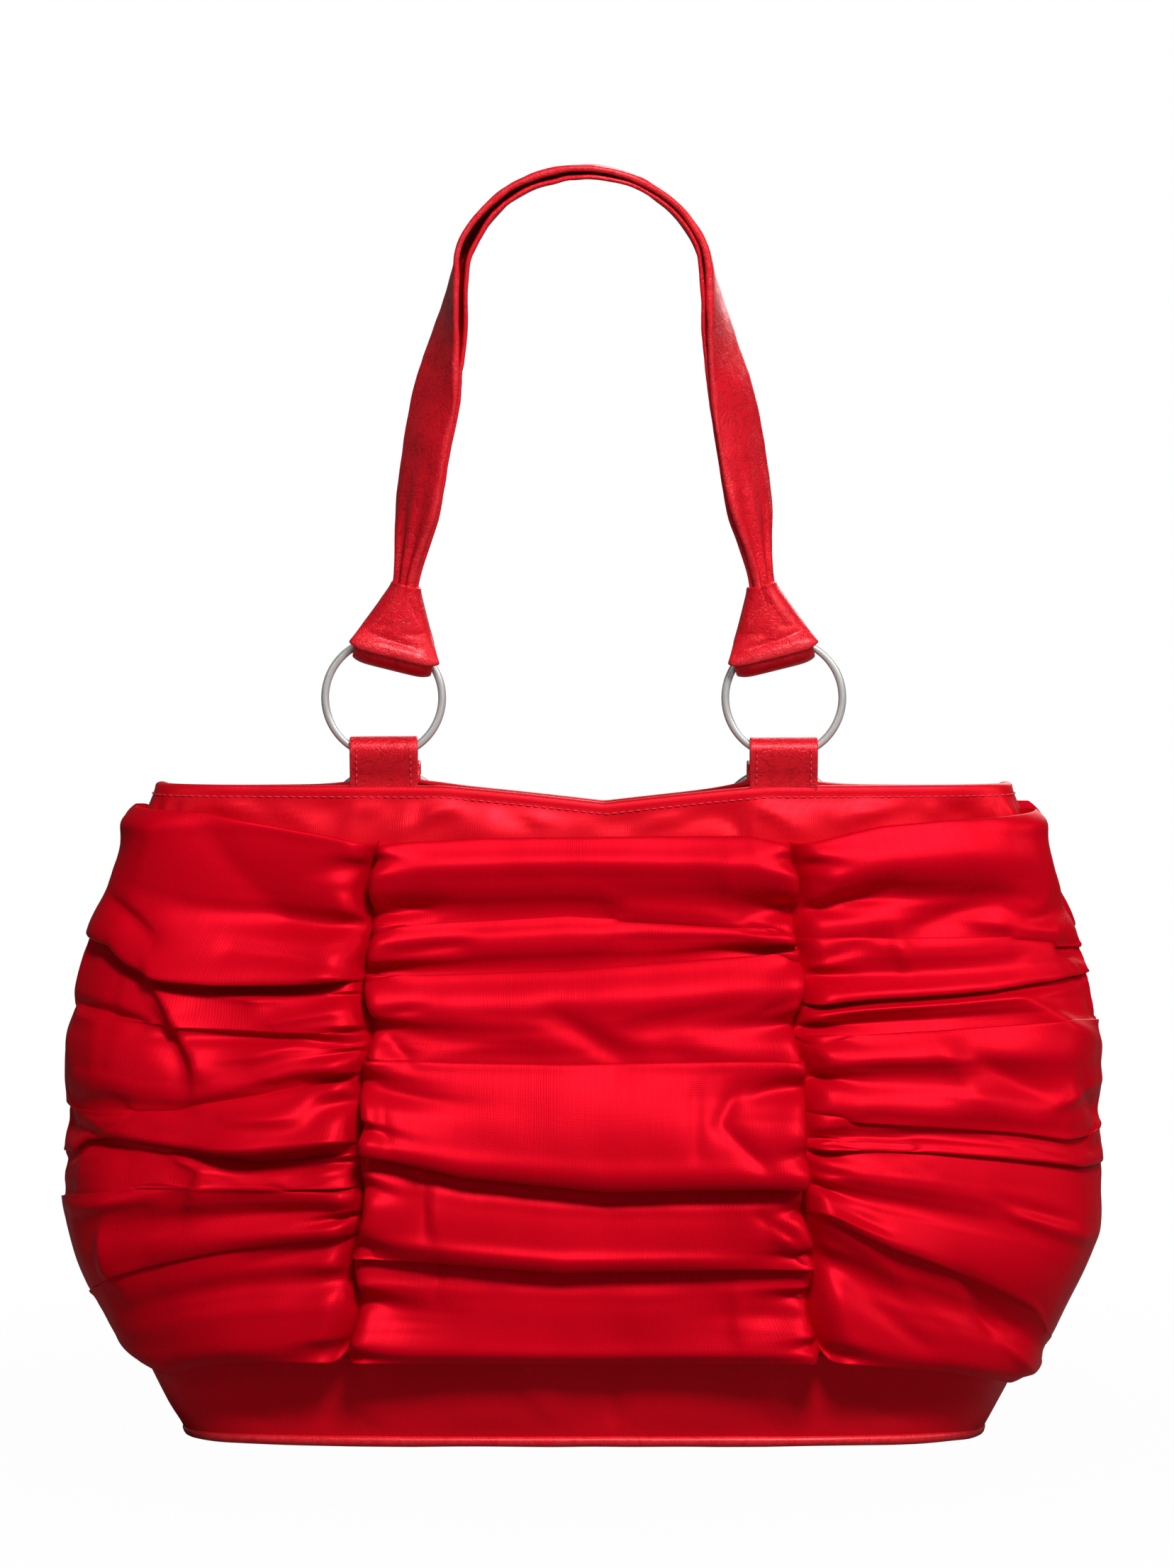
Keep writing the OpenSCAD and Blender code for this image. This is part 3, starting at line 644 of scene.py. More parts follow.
def add_ruching(satin):
    panels = [
        ("left", SIDE_WIDTH, SIDE_COLUMNS, LEFT_CREASES, LEFT_FOLDS, 2, 0, -1),
        ("centre", CENTRE_WIDTH, CENTRE_COLUMNS, CENTRE_CREASES, CENTRE_FOLDS, 1, -1, 1),
        ("right", SIDE_WIDTH, SIDE_COLUMNS, RIGHT_CREASES, RIGHT_FOLDS, 3, 1, 0),
    ]
    for side, width, columns, creases, folds, seed, left, right in panels:
        x, cut = gather(width, columns, creases, folds, seed, left, right)
        points = lay_on_body(x, width, left, right)
        cloth = np.zeros_like(points)
        cloth[..., 0] = x[..., 0]
        cloth[..., 1] = np.linspace(0, cut[1], FOLD_ROWS)[None]
        for face, laid, name in (
            ("front", points, side), ("back", turn_back(points), OPPOSITE[side])
        ):
            node = f"{face}_ruching_{name}"
            piece = add_sheet(f"{face}_gathered_{name}", laid, satin, [node],
                              flat=cut, cloth=cloth)
            subdivide(piece)


# Plain satin walls, gussets, lining and base

# The outer cloth turns in over the rim: rise above the rim and offset
RIM_TURN = [(0.5, -0.5), (0.9, -1.5), (0.95, -2.8), (0.6, -4.2), (-0.4, -5.2)]
# How far the cloth is pressed out over the tabs, and how far the mouth's band leans
TAB_PRESS, BAND_LEAN = 0.7, 1.7
# How far a wall may lean in before it meets the rim's interlining
MOST_LEAN = -1.8
# The gap between a wall and a gusset, as an angle
SEAM_GAP = 0.0004
GUSSET_COLUMNS = 44
# Creases in the plain bands at the mouth and at the base
BAND_FOLDS = [
    (-64, 225, -48, 234, 4, 0.9), (-31, 235, -15, 228, 4, 0.8), (94, 228, 124, 236, 4, 0.9),
    (63, 235, 77, 225, 4, 0.7), (-112, 232, -98, 224, 5, 0.7), (-140, 236, -118, 229, 5, 0.7),
    (20, 226, 44, 232, 4, 0.8), (48, 233, 58, 224, 3, -0.7), (-60, 233, -62, 223, 3, -0.6),
    (-86, 235, -87, 223, 2.5, 0.6), (61, 236, 60, 222, 2.5, 0.6), (130, 236, 146, 226, 5, -0.7),
    (9, 32, 12, 8, 3, -0.8), (-24, 30, -12, 12, 6, 0.7), (58, 30, 76, 10, 7, 0.8),
    (-92, 28, -74, 9, 7, 0.8), (104, 26, 118, 8, 6, -0.8), (-128, 24, -118, 8, 5, -0.8),
]


def band_lean(x, z, rim):
    """The band at the mouth leans in, except near its ends."""
    lean = mix(BAND_LEAN, -BAND_LEAN, ease((z - 218) / (rim - 219)))
    return lean * ease((z - 196) / 20) * ease((140 - np.abs(x)) / 20)


def outer_cloth(start, end, columns, rows, lift):
    """The outer cloth between two directions, from the piping over the rim.
    lift(x, z, rim, v) moves it in or out."""
    v = np.linspace(0, 1, columns)
    angle = mix(start, end, v)
    rim = rim_z(angle)
    t = np.linspace(0, 1, rows)
    z = mix(WALL_FOOT - 1.2, rim[:, None], (0.65 * t + 0.35 * ease(t))[None])
    x = outline(z, angle[:, None])[..., 0]
    off = lift(x, z, rim[:, None], v[:, None])
    turned = [outline(rim + up, angle, off[:, -1] + inward) for up, inward in RIM_TURN]
    return np.concatenate([outline(z, angle[:, None], off), np.stack(turned, 1)], 1)


def add_walls(satin):
    columns, rows = 190, 84
    wrinkle = soft_noise(11, (columns, rows), (38, 14))
    drape = soft_noise(12, (columns, rows), (14, 5))
    pucker = soft_noise(13, (columns, rows), (70, 5))

    def face_lift(x, z, rim, v):
        band = between(z, 205, 12, rim - 3, 5)
        foot = between(z, 4, 9, 46, 14)
        tab = sum(bump(x, side * TAB_X, 12.0) for side in (-1, 1))
        press = TAB_PRESS * np.clip(1.6 * tab, 0, 1) * ease((z - (rim - TAB_DEPTH - 3)) / 5)
        under = 0.35 * pucker * bump(z, rim - 7.5, 3.0)
        folds = 1.6 * crease_lift(x, z, BAND_FOLDS)
        # Both cloths lie flat where a wall and a gusset are sewn together
        sewn = between(v, 0, 0.03, 1, 0.03)
        creased = band * (0.5 * wrinkle + 0.3 * drape + folds) + foot * (0.9 * drape - 0.3 + folds) + under
        lift = sewn * creased + press * band + band_lean(x, z, rim) + flare(x, z)
        return np.maximum(lift, MOST_LEAN)

    def gusset_lift(x, z, rim, v):
        sag = np.sin(np.pi * v) ** 2 * between(z, 5, 45, rim, 40)
        folds = np.sin(np.pi * v) * (np.cos(7 * np.pi * v + z / 38) + 0.6 * np.cos(11 * np.pi * v - z / 27))
        return -2.6 * sag + 0.7 * folds * between(z, 6, 30, rim, 30) + flare(x, z)

    for name, start, end, count, lift in (
        ("front_panel", SEAM_ANGLE - np.pi, -SEAM_ANGLE, columns, face_lift),
        ("back_panel", SEAM_ANGLE, np.pi - SEAM_ANGLE, columns, face_lift),
        ("right_gusset", -SEAM_ANGLE, SEAM_ANGLE, GUSSET_COLUMNS, gusset_lift),
        ("left_gusset", np.pi - SEAM_ANGLE, np.pi + SEAM_ANGLE, GUSSET_COLUMNS, gusset_lift),
    ):
        points = outer_cloth(start + SEAM_GAP, end - SEAM_GAP, count, rows, lift)
        word = name.replace("panel", "wall_cloth").replace("gusset", "gusset_cloth")
        add_sheet(word, points, satin, [name])


LINING_COLUMNS, LINING_ROWS = 160, 44


def add_lining(lining):
    columns, rows = LINING_COLUMNS, LINING_ROWS
    angle = circle(columns)
    z = np.linspace(5.4, BAND_Z - 0.6, rows)
    ripple = soft_noise(21, (columns, rows), (24, 4))
    ripple = mix(ripple, np.roll(ripple[::-1], 1, 0), bump(angle, 0, 0.4)[:, None] * 0.5)
    folds = 0.9 + 0.5 * np.sin(22 * angle)[:, None] + 0.4 * ripple
    loose = between(z, 8, 40, BAND_Z, 25)
    points = outline(z[None], angle[:, None], LINING_OFF - 0.4 - np.clip(folds, 0, 3) * loose[None])
    add_sheet("lining_cloth", points, lining, ["lining_wall"], wrap=True)


def add_facing(satin):
    """The facing, from under the turned rim down to the lining."""
    angle = circle(LINING_COLUMNS)
    rim = rim_z(angle)
    t = np.linspace(0, 1, 14)
    z = mix(rim[:, None] - 0.3, BAND_Z - 1.6, t[None])
    off = mix(-5.3, LINING_OFF - 0.3, ease(t * 2))[None] - 0.25 * bump(t, 0.9, 0.06)[None]
    add_sheet("facing_cloth", outline(z, angle[:, None], off), satin, ["mouth_facing"],
              wrap=True)


def disc(name, material, node, z, foot_z, off, crown):
    """A cloth laid flat inside the outline, with a shallow crown."""
    columns, rings = 96, 14
    angle = circle(columns)
    share = np.linspace(1, 0.08, rings)
    edge = outline(foot_z, angle, off)
    points = edge[:, None] * share[None, :, None]
    points[..., 2] = z + crown * (1 - share[None] ** 2) + 0.15 * soft_noise(31, (columns, rings), (9, 4))
    points[..., 2] = np.maximum(points[..., 2], 0.05)
    faces = grid_faces(columns, rings, wrap_n=True)
    faces.append(tuple(i * rings + rings - 1 for i in range(columns)))
    piece = add_mesh(name, points, faces, material, "bag", [node], points)


def add_base(satin, lining):
    disc("base_cloth", satin, "base_panel", z=0.25, foot_z=0.0, off=-2.1, crown=0.2)
    disc("lining_floor", lining, "lining_base", z=5.0, foot_z=5.2, off=LINING_OFF - 0.6, crown=0.7)


def add_tapes(tape):
    z = np.linspace(36, 220, 70)
    for face in ("front", "back"):
        for side, word in ((-1, "left"), (1, "right")):
            x = side * ruche_x(z)[None] + np.linspace(-4.5, 4.5, 7)[:, None]
            points = outline(z[None], front_angle(z[None], x), 0.5 + 0.12 * np.cos(x * 2.1))
            name = word
            if face == "back":
                points, name = turn_back(points), OPPOSITE[word]
            faces = grid_faces(*points.shape[:2])
            add_mesh(f"{face}_stay_tape_{name}", points, faces, tape, "bag", [f"{face}_tape_{name}"],
                     cloth_coords(points))


def add_interlining(felt):
    """Four firm strips in the rim between the tabs."""
    clear = TAB_W / 2 + 4.4
    inner = float(front_angle(np.array(BAG_H), TAB_X - clear))
    outer = float(front_angle(np.array(BAG_H), TAB_X + clear))
    points, faces = [], []
    columns, section = 60, 10
    for start, end in ((-np.pi - inner, inner), (outer, -outer), (-inner, np.pi + inner),
                       (np.pi + outer, np.pi - outer)):
        first = sum(len(p) for p in points)
        angle = np.linspace(start, end, columns)
        turn = circle(section)
        top = rim_z(angle) - 0.8
        z = mix(BAND_Z + 1, top[:, None], 0.5 + 0.5 * np.clip(1.3 * np.sin(turn), -1, 1)[None])
        off = -3.4 + 1.1 * np.clip(1.4 * np.cos(turn), -1, 1)[None]
        points.append(outline(z, angle[:, None], off).reshape(-1, 3))
        faces += tube_faces(columns, section, first)
    add_mesh("rim_strips", np.concatenate(points), faces, felt, "bag", ["rim_interlining"])


def add_piping(leather):
    """Leather piping round the base edge, with its flange turned inwards."""
    columns, sides = 220, 14
    angle = circle(columns)
    path = outline(0.0, angle)
    along = np.roll(path, -1, 0) - np.roll(path, 1, 0)
    out = unit(np.stack([along[:, 1], -along[:, 0]], 1))
    turn = circle(sides)
    wobble = 1 + 0.05 * soft_noise(41, (columns, sides), (70, 3))
    # The two ends of the piping lap at the middle of the back
    lap = bump(np.arctan2(path[:, 1], path[:, 0]), np.pi / 2, 0.05)
    r = PIPING_R * np.minimum(wobble, 1.04) * (1 + 0.07 * lap[:, None])
    reach = r * np.cos(turn)[None]
    # The flange narrows towards the bag
    rise = r * np.sin(turn)[None] * np.where(np.cos(turn) < 0, 1 + 0.25 * np.cos(turn), 1)[None]
    points = np.empty((columns, sides, 3))
    points[..., :2] = path[:, None, :2] + out[:, None] * reach[..., None]
    points[..., 2] = np.maximum(PIPING_LIFT + PIPING_R + rise, 0.02)
    # Painted highlight: the outer side of the piping is marked to take the lighter wear and highlight colour
    edge = np.clip(np.cos(turn), 0, 1)[None] ** 4 * np.ones((columns, 1))
    add_mesh("piping_leather", points, grid_faces(columns, sides, True, True), leather, "bag",
             ["base_piping"], edge=edge)


# Tabs, rings and stitching

# Middle of the leather round a ring, and of each ply where the two lie together
TAB_LOOP_R, TAB_HALF = LOOP_R + TAB_PLY / 2, TAB_PLY / 2 + 0.05
RIM_STITCH_DROP = 3.2


def smooth_path(points, count):
    """Evenly spaced points of a smooth curve through control points."""
    p = np.asarray(points, float)[None]
    spans = np.linalg.norm(np.diff(p[0], axis=0), axis=1)
    fine = smooth_rows(p, 600, spans)[0]
    run = distance_along(fine)
    at = np.linspace(0, run[-1], count)
    return np.stack([np.interp(at, run, fine[:, k]) for k in range(fine.shape[1])], 1)


def tab_path(count):
    """Middle of the tab's leather in (y, z), up the front, round the ring and
    down the back, from the line that the ring swings about."""
    r, half = TAB_LOOP_R, TAB_HALF
    foot = BAG_H - TAB_DEPTH - SWING_Z
    front = [(-half, foot), (-half, -24), (-half - 0.05, -15), (-1.5, -9.8), (-3.0, -5.8)]
    loop = [(r * math.cos(a), r * math.sin(a)) for a in np.radians(np.arange(195, -16, -30))]
    return smooth_path(front + loop + [(-y, z) for y, z in front[::-1]], count)


def bent_tab_path(count):
    """The same for a back tab, bent out over the rim before it goes round the ring."""
    r, half = TAB_LOOP_R + 0.15, TAB_HALF
    out = np.array([math.cos(BEND_TURN), math.sin(BEND_TURN)])
    on = np.array([-out[1], out[0]])
    ring = bent_swing()[1:]

    def ply(offset, flare):
        line = [(offset, z - SWING_Z) for z in (BAG_H - TAB_DEPTH, BAG_H - 12, BAG_H - 4)]
        for a, wide in ((0, 0), (30, 0), (60, 0), (80, 0.1)):
            reach = BEND_R + offset + flare * wide
            line.append((reach * math.cos(math.radians(a)) - BEND_R,
                         reach * math.sin(math.radians(a)) + BEND_Z - SWING_Z))
        return line

    loop = [tuple(ring + r * (math.cos(a) * out + math.sin(a) * on))
            for a in np.radians(np.arange(215, -36, -25))]
    return smooth_path(ply(-half, -0.3) + loop + ply(half, 0.3)[::-1], count)


def path_normals(path):
    along = unit(np.gradient(path, axis=0))
    return np.stack([-along[:, 1], along[:, 0]], 1)


def add_tab(face, word, side, leather):
    count = 90
    at_back = face == "back"
    path = bent_tab_path(count) if at_back else tab_path(count)
    normal = path_normals(path)
    half_t, half_w_tab = TAB_PLY / 2, TAB_W / 2
    across = [(-1, -0.55), (-0.985, -0.92), (-0.94, -1.05), (-0.86, -0.97), (-0.5, -1), (0, -1), (0.5, -1),
              (0.86, -0.97), (0.94, -1.05), (0.985, -0.92), (1, -0.55)]
    across = np.array(across + [(x, -t) for x, t in across[::-1]])
    bend = (0.1 if at_back else 0.3) * soft_noise(51 + side, (count, len(across)), (9, 3)) * half_t
    thick = across[None, :, 1] * half_t
    points = np.empty((count, len(across), 3))
    points[..., 0] = side * TAB_X + across[None, :, 0] * half_w_tab
    points[..., 1] = TAB_Y + path[:, None, 0] + normal[:, None, 0] * (thick + bend)
    points[..., 2] = SWING_Z + path[:, None, 1] + normal[:, None, 1] * (thick + bend)
    # Painted highlight: the tab's side edges are marked to take the lighter wear and highlight colour
    edge = np.clip((np.abs(across[None, :, 0]) - 0.84) / 0.14, 0, 1) * np.ones((count, 1))
    if at_back:
        points = turn_back(points)
    piece = add_mesh(f"{face}_{word}_tab_leather", points, tube_faces(count, len(across)), leather, "bag",
                     [f"{face}_tab_{word}"], edge=edge)
    subdivide(piece)


def stitch_mesh(path, out, pitch, length, radius):
    """Threads laid along a path: points and faces of short plump stitches."""
    run = distance_along(path)
    middles = np.arange(pitch / 2, run[-1], pitch)

    def at(values, where):
        return np.stack([np.interp(where, run, values[:, k]) for k in range(3)], -1)

    shares = np.array([-1, -0.75, -0.3, 0.3, 0.75, 1])
    girth = radius * np.array([0.35, 0.8, 1, 1, 0.8, 0.35])
    lift = radius * np.array([-0.7, 0.1, 0.55, 0.55, 0.1, -0.7])
    turn = circle(6)
    points, faces = [], []
    for k, middle in enumerate(middles):
        centre = at(path, middle + shares * length / 2)
        up = unit(at(out, middle))
        aside = np.cross(unit(centre[-1] - centre[0]), up)
        ring = (centre + lift[:, None] * up)[:, None] + girth[:, None, None] * (
            np.cos(turn)[None, :, None] * aside + np.sin(turn)[None, :, None] * up)
        points.append(ring.reshape(-1, 3))
        faces += tube_faces(len(shares), len(turn), k * len(shares) * len(turn))
    return np.concatenate(points), faces


def join_meshes(parts):
    points, faces, first = [], [], 0
    for p, f in parts:
        points.append(p)
        faces += [tuple(i + first for i in face) for face in f]
        first += len(p)
    return np.concatenate(points), faces


def add_rim_stitching(thread):
    angle = np.linspace(0, 2 * np.pi, 1600)
    rim = rim_z(angle)
    z = rim - RIM_STITCH_DROP
    x = outline(z, angle)[:, 0]
    path = outline(z, angle, 0.2 + band_lean(x, z, rim) + flare(x, z))
    out = outline(z, angle, 4.0) - outline(z, angle, 3.0)
    points, faces = stitch_mesh(path, out, pitch=2.9, length=2.2, radius=0.24)
    add_mesh("rim_topstitch", points, faces, thread, "bag")


def sewn_lengths(bent):
    """Where a tab is stitched, as (y, z) on its leather and the way out of it: on
    both faces of a front tab, from the rim to the fold, and on the outside of a
    bent tab, from inside the mouth to the ring."""
    tab = bent_tab_path(400) if bent else tab_path(400)
    normal = path_normals(tab)
    first_half = np.arange(len(tab)) < len(tab) / 2
    if bent:
        off_ring = np.hypot(*(tab - bent_swing()[1:]).T) > LOOP_R + 2
        lengths_sewn = [~first_half & off_ring & (tab[:, 1] > BAG_H - SWING_Z - 9)]
    else:
        shown = (tab[:, 1] > BAG_H - SWING_Z + 1.0) & (tab[:, 1] < 2.2)
        lengths_sewn = [shown & first_half, shown & ~first_half]
    return [(tab[k] + normal[k] * (TAB_PLY / 2 + 0.06), normal[k]) for k in lengths_sewn]


def add_tab_stitching(thread):
    """Two rows on each stitched length of every tab."""
    parts = []
    for bent in (False, True):
        for length, normal in sewn_lengths(bent):
            y, z = length.T
            away = np.stack([np.zeros_like(y), normal[:, 0], normal[:, 1]], 1)
            for side in (-1, 1):
                for edge in (-1, 1):
                    x = np.full_like(y, side * TAB_X + edge * (TAB_W / 2 - 2.5))
                    row = np.stack([x, TAB_Y + y, SWING_Z + z], 1)
                    p, f = stitch_mesh(row, away, pitch=2.5, length=1.8, radius=0.26)
                    parts.append((turn_back(p) if bent else p, f))
    points, faces = join_meshes(parts)
    add_mesh("tab_stitching", points, faces, thread, "bag")


def add_ring(face, word, side, place, nickel):
    around, sides = 144, 20
    a, b = circle(around), circle(sides)
    # The wire is a little flattened, and its closed ends meet inside the tab
    joint = bump(np.angle(np.exp(1j * (a + np.pi / 2))), 0, 0.02)
    r = WIRE_R * (1 - 0.12 * joint)[:, None]
    reach = RING_R + r * np.cos(b)[None] * 0.97
    points = np.stack([side * TAB_X + reach * np.cos(a)[:, None],
                       TAB_Y + r * np.sin(b)[None] * np.ones_like(reach),
                       RING_Z + reach * np.sin(a)[:, None]], -1)
    add_mesh(f"{face}_{word}_nickel_ring", place(points), grid_faces(around, sides, True, True), nickel,
             f"{face}_{word}_ring", [f"{face}_ring_{word}"])


# Knots: the strap's end is looped round the ring and gathered at the neck

KNOT_HALF_W, NECK_HALF_W = 17.3, 4.5
KNOT_HALF_T, NECK_HALF_T = 7.6, 5.8
NECK_SHIFT = 2.0
# The front flap ends at a straight edge, with the roll round the ring under it
FLAP_Z, FLAP_CORNER = 15.6, 1.6
ROLL_HALF_W, ROLL_DROP, ROLL_TUCK, ROLL_OPEN = 14.7, 4.4, 0.9, 5.8
KNOT_LEATHER = 1.5
# Creases in a knot's front, in shares across and up. Across is towards the
# outer side of the bag.
KNOT_CREASES = [
    (0.90, 0.25, -0.50, 0.19, 0.045, -0.75), (0.85, 0.12, -0.80, 0.11, 0.08, 0.5),
    (-0.10, 0.33, -0.90, 0.40, 0.05, -0.55), (-0.30, 0.80, -0.62, 0.58, 0.06, -0.5),
    (0.30, 0.92, 0.62, 0.45, 0.14, 0.5), (-0.05, 1.00, 0.08, 0.76, 0.07, -0.5),
    (0.25, 0.42, 0.70, 0.36, 0.05, -0.35),
]


KNOT_ACROSS, KNOT_ROWS, ROLL_ROWS = 37, 30, 15


def knot_leather(q, side):
    """A knot's leather before it leans: its front, the roll round the ring and its
    back. q goes across it from -1 to 1."""
    t = np.linspace(1, 0, KNOT_ROWS)[None]
    flap_z = FLAP_Z + FLAP_CORNER * np.abs(q) ** 7
    shoulder = (1 - np.abs(q) ** 2.6) ** (1 / 2.2)
    opened = ROLL_OPEN * ease(1 - 2.2 * t)
    full = mix(KNOT_HALF_T, NECK_HALF_T, t**0.8)
    x = (mix(KNOT_HALF_W, NECK_HALF_W, t**0.92) + 0.4 * bump(t, 1, 0.05)) * q
    y = opened + (full - opened) * shoulder + 0.4 * bump(t, 1, 0.05)
    z = mix(flap_z, KNOT_TOP, t)
    lip = 0.9 * bump(t, 0.03, 0.11) * (1 - 0.6 * q**4)
    front = np.stack([x, -(y + crease_lift(q * side, t, KNOT_CREASES) + lip), z], -1)
    narrow = mix(ROLL_HALF_W / KNOT_HALF_W, 1, ease(t / 0.3))
    back = np.stack([x * narrow, y + 0.6 * crease_lift(-q * side, t, KNOT_CREASES), z], -1)
    # The roll goes round under the ring, from behind the flap to the back
    a = np.linspace(0, np.pi, ROLL_ROWS + 1)[None, :-1]
    share = (1 - np.cos(a)) / 2
    roll = np.stack([
        ROLL_HALF_W * q * np.ones_like(a),
        mix(front[:, -1:, 1] + ROLL_TUCK, back[:, -1:, 1], share),
        mix(front[:, -1:, 2] + 0.9, back[:, -1:, 2], share) - (ROLL_DROP + 0.6) * np.sin(a),
    ], -1)
    return np.concatenate([front, roll, back[:, ::-1]], 1)


def add_knot(face, word, side, place, leather):
    q = np.linspace(-1, 1, KNOT_ACROSS)[:, None]
    points = knot_leather(q, side)
    noise = 0.08 * soft_noise(61 + side, points.shape[:2], (12, 18))
    points[..., 1] += noise * np.sign(points[..., 1])
    c, s = math.cos(side * KNOT_LEAN), math.sin(side * KNOT_LEAN)
    share = np.clip((points[..., 2] - FLAP_Z) / (KNOT_TOP - FLAP_Z), 0, 1)
    lean = np.stack([points[..., 0] * c - points[..., 2] * s + side * (TAB_X + NECK_SHIFT * share),
                     points[..., 1] + TAB_Y,
                     points[..., 0] * s + points[..., 2] * c + RING_Z], -1)
    # Painted highlight: the knot's sides and the rows at its lip are marked to take the lighter wear and
    # highlight colour
    edge = np.clip((np.abs(q) - 0.86) / 0.14, 0, 1) * np.ones(points.shape[:2])
    edge[:, KNOT_ROWS - 3:KNOT_ROWS] = 1
    piece = add_mesh(f"{face}_{word}_tied_knot", place(lean), grid_faces(*points.shape[:2]), leather,
                     f"{face}_handle", [f"{face}_knot_{word}"], edge=edge)
    ply = piece.modifiers.new("ply", "SOLIDIFY")
    ply.thickness, ply.offset = KNOT_LEATHER * MM, 0
    subdivide(piece)


# Straps: leather folded lengthwise, with its open edges to the front

OUTER_LIP, INNER_LIP, STRAP_PLY = 2.6, 1.8, 1.6
STRAP_NECK_W, STRAP_NECK_T = 11.5, 6.0
STRAP_TAIL = 8.0
STRAP_STEPS = 170


def strap_line():
    """Middle of the strap as (x, z, s), where s is 1 at a knot and 0 on the arch."""
    neck_x = TAB_X - KNOT_TOP * math.sin(KNOT_LEAN) + NECK_SHIFT
    neck_z = RING_Z + KNOT_TOP * math.cos(KNOT_LEAN)
    tail_x, tail_z = neck_x + STRAP_TAIL * math.sin(KNOT_LEAN), neck_z - STRAP_TAIL * math.cos(KNOT_LEAN)
    limb = [(tail_x, tail_z)]
    limb += [(mix(neck_x, SHOULDER_X, t) + 1.2 * math.sin(math.pi * t), mix(neck_z, SHOULDER_Z, t))
             for t in np.linspace(0, 0.86, 6)]
    arch = [(-SHOULDER_X * math.cos(a), SHOULDER_Z + ARCH_H * math.sin(a))
            for a in np.radians(np.linspace(4, 176, 13))]
    path = smooth_path([(-x, z) for x, z in limb] + arch + limb[::-1], STRAP_STEPS)
    s = np.clip((SHOULDER_Z - path[:, 1]) / (SHOULDER_Z - neck_z), 0, 1)
    return path, s


def folded_section(w, t, pinch, puff):
    """The folded leather's outline as (forward, outward): an outer and an inner
    ply joined at the back, with rounded lips at the front."""
    count = 21
    from_lip = np.linspace(0, 1, count)
    outer = mix(STRAP_PLY, OUTER_LIP, np.clip(1 - from_lip * w / 5, 0, 1)) / 2
    inner = mix(STRAP_PLY, INNER_LIP, np.clip(1 - from_lip * w / 5, 0, 1)) / 2
    outer, inner = mix(outer, 0.245 * t, pinch), mix(inner, 0.245 * t, pinch)
    r = t / 2 - STRAP_PLY / 2
    r_back = t / 2 - outer[-1]
    back = -w / 2 + r + STRAP_PLY / 2
    forward = mix(w / 2 - outer[0], back, from_lip)
    rise = puff * np.sin(np.pi * np.clip(from_lip * 1.05, 0, 1)) ** 0.8
    turn = np.linspace(np.pi / 2, 3 * np.pi / 2, 9)[1:-1]
    line = np.concatenate([
        np.stack([forward, t / 2 - outer + rise], 1),
        np.stack([back + r_back * np.cos(turn), r_back * np.sin(turn)], 1),
        np.stack([forward - 0.9, inner - t / 2 + 0.3 * rise], 1)[::-1],
    ])
    half = np.concatenate([outer, np.full(len(turn), outer[-1]), inner[::-1]])[:, None]
    along = unit(np.gradient(line, axis=0))
    normal = np.stack([along[:, 1], -along[:, 0]], 1)

    def lip(k, direction):
        a = np.radians([-55, 0, 55])
        across = np.array([-direction[1], direction[0]])
        return line[k] + half[k] * (np.cos(a)[:, None] * direction + np.sin(a)[:, None] * across)

    return np.concatenate([
        line + half * normal, lip(-1, along[-1]), (line - half * normal)[::-1], lip(0, -along[0]),
    ])


def add_strap(face, place, leather):
    path, s = strap_line()
    out = path_normals(path)
    pinch = ease((s - 0.7) / 0.3)
    fluted = ease((s - 0.52) / 0.48)
    puff = 1.5 * ease((s - 0.2) / 0.35) * (1 - pinch)
    turn = STRAP_TURN * ease((SHOULDER_Z + 14 - path[:, 1]) / 62)
    # The fold gapes on the arch, most at its left shoulder, and closes below
    gape = 0.9 * bump(path[:, 0], -40, 22) * (path[:, 1] > SHOULDER_Z - 30) - 0.5 * bump(path[:, 0], 30, 25)
    gape -= 0.7 * ease((s - 0.15) / 0.3) * (1 - pinch)
    count = len(folded_section(STRAP_W, STRAP_T, 0, 0))
    ripple = soft_noise(71, (len(path), count), (46, 7))
    fine = soft_noise(72, (len(path), count), (120, 12))
    points = np.empty((len(path), count, 3))
    edge = np.zeros((len(path), count))
    for i in range(len(path)):
        w = mix(STRAP_W, STRAP_NECK_W, pinch[i]) * (1 + 0.03 * math.sin(i * 0.23))
        t = mix(STRAP_T + gape[i], STRAP_NECK_T, pinch[i])
        section = folded_section(w, t, pinch[i], puff[i])
        side = np.sign(section[:, 1])
        flute = 1.2 * fluted[i] * (1 - 0.45 * fluted[i]) * np.sin(section[:, 0] / w * 17 + 0.6 * side)
        rough = 0.28 * ripple[i] + 0.1 * fine[i]
        outside = np.where(np.abs(section[:, 1]) > 0.25 * t, side, 0)
        section = np.stack([section[:, 0] + 0.15 * ripple[i], section[:, 1] + outside * flute + rough], 1)
        f = section[:, 0] * math.cos(turn[i]) + section[:, 1] * math.sin(turn[i])
        o = section[:, 1] * math.cos(turn[i]) - section[:, 0] * math.sin(turn[i])
        points[i, :, 0] = path[i, 0] + o * out[i, 0]
        points[i, :, 1] = TAB_Y - f
        points[i, :, 2] = path[i, 1] + o * out[i, 1]
        # Painted highlight: the strap's front lip is marked to take the lighter wear and highlight colour
        edge[i] = np.clip((section[:, 0] - w / 2 + 1.6) / 1.2, 0, 1)
    add_mesh(f"{face}_folded_strap", place(points), tube_faces(len(path), count), leather, f"{face}_handle",
             [f"{face}_strap"], edge=edge)


# Finishes

COLOUR, NUMBER = "NodeSocketColor", "NodeSocketFloat"


def rgb(r, g, b):
    return (r, g, b, 1.0)


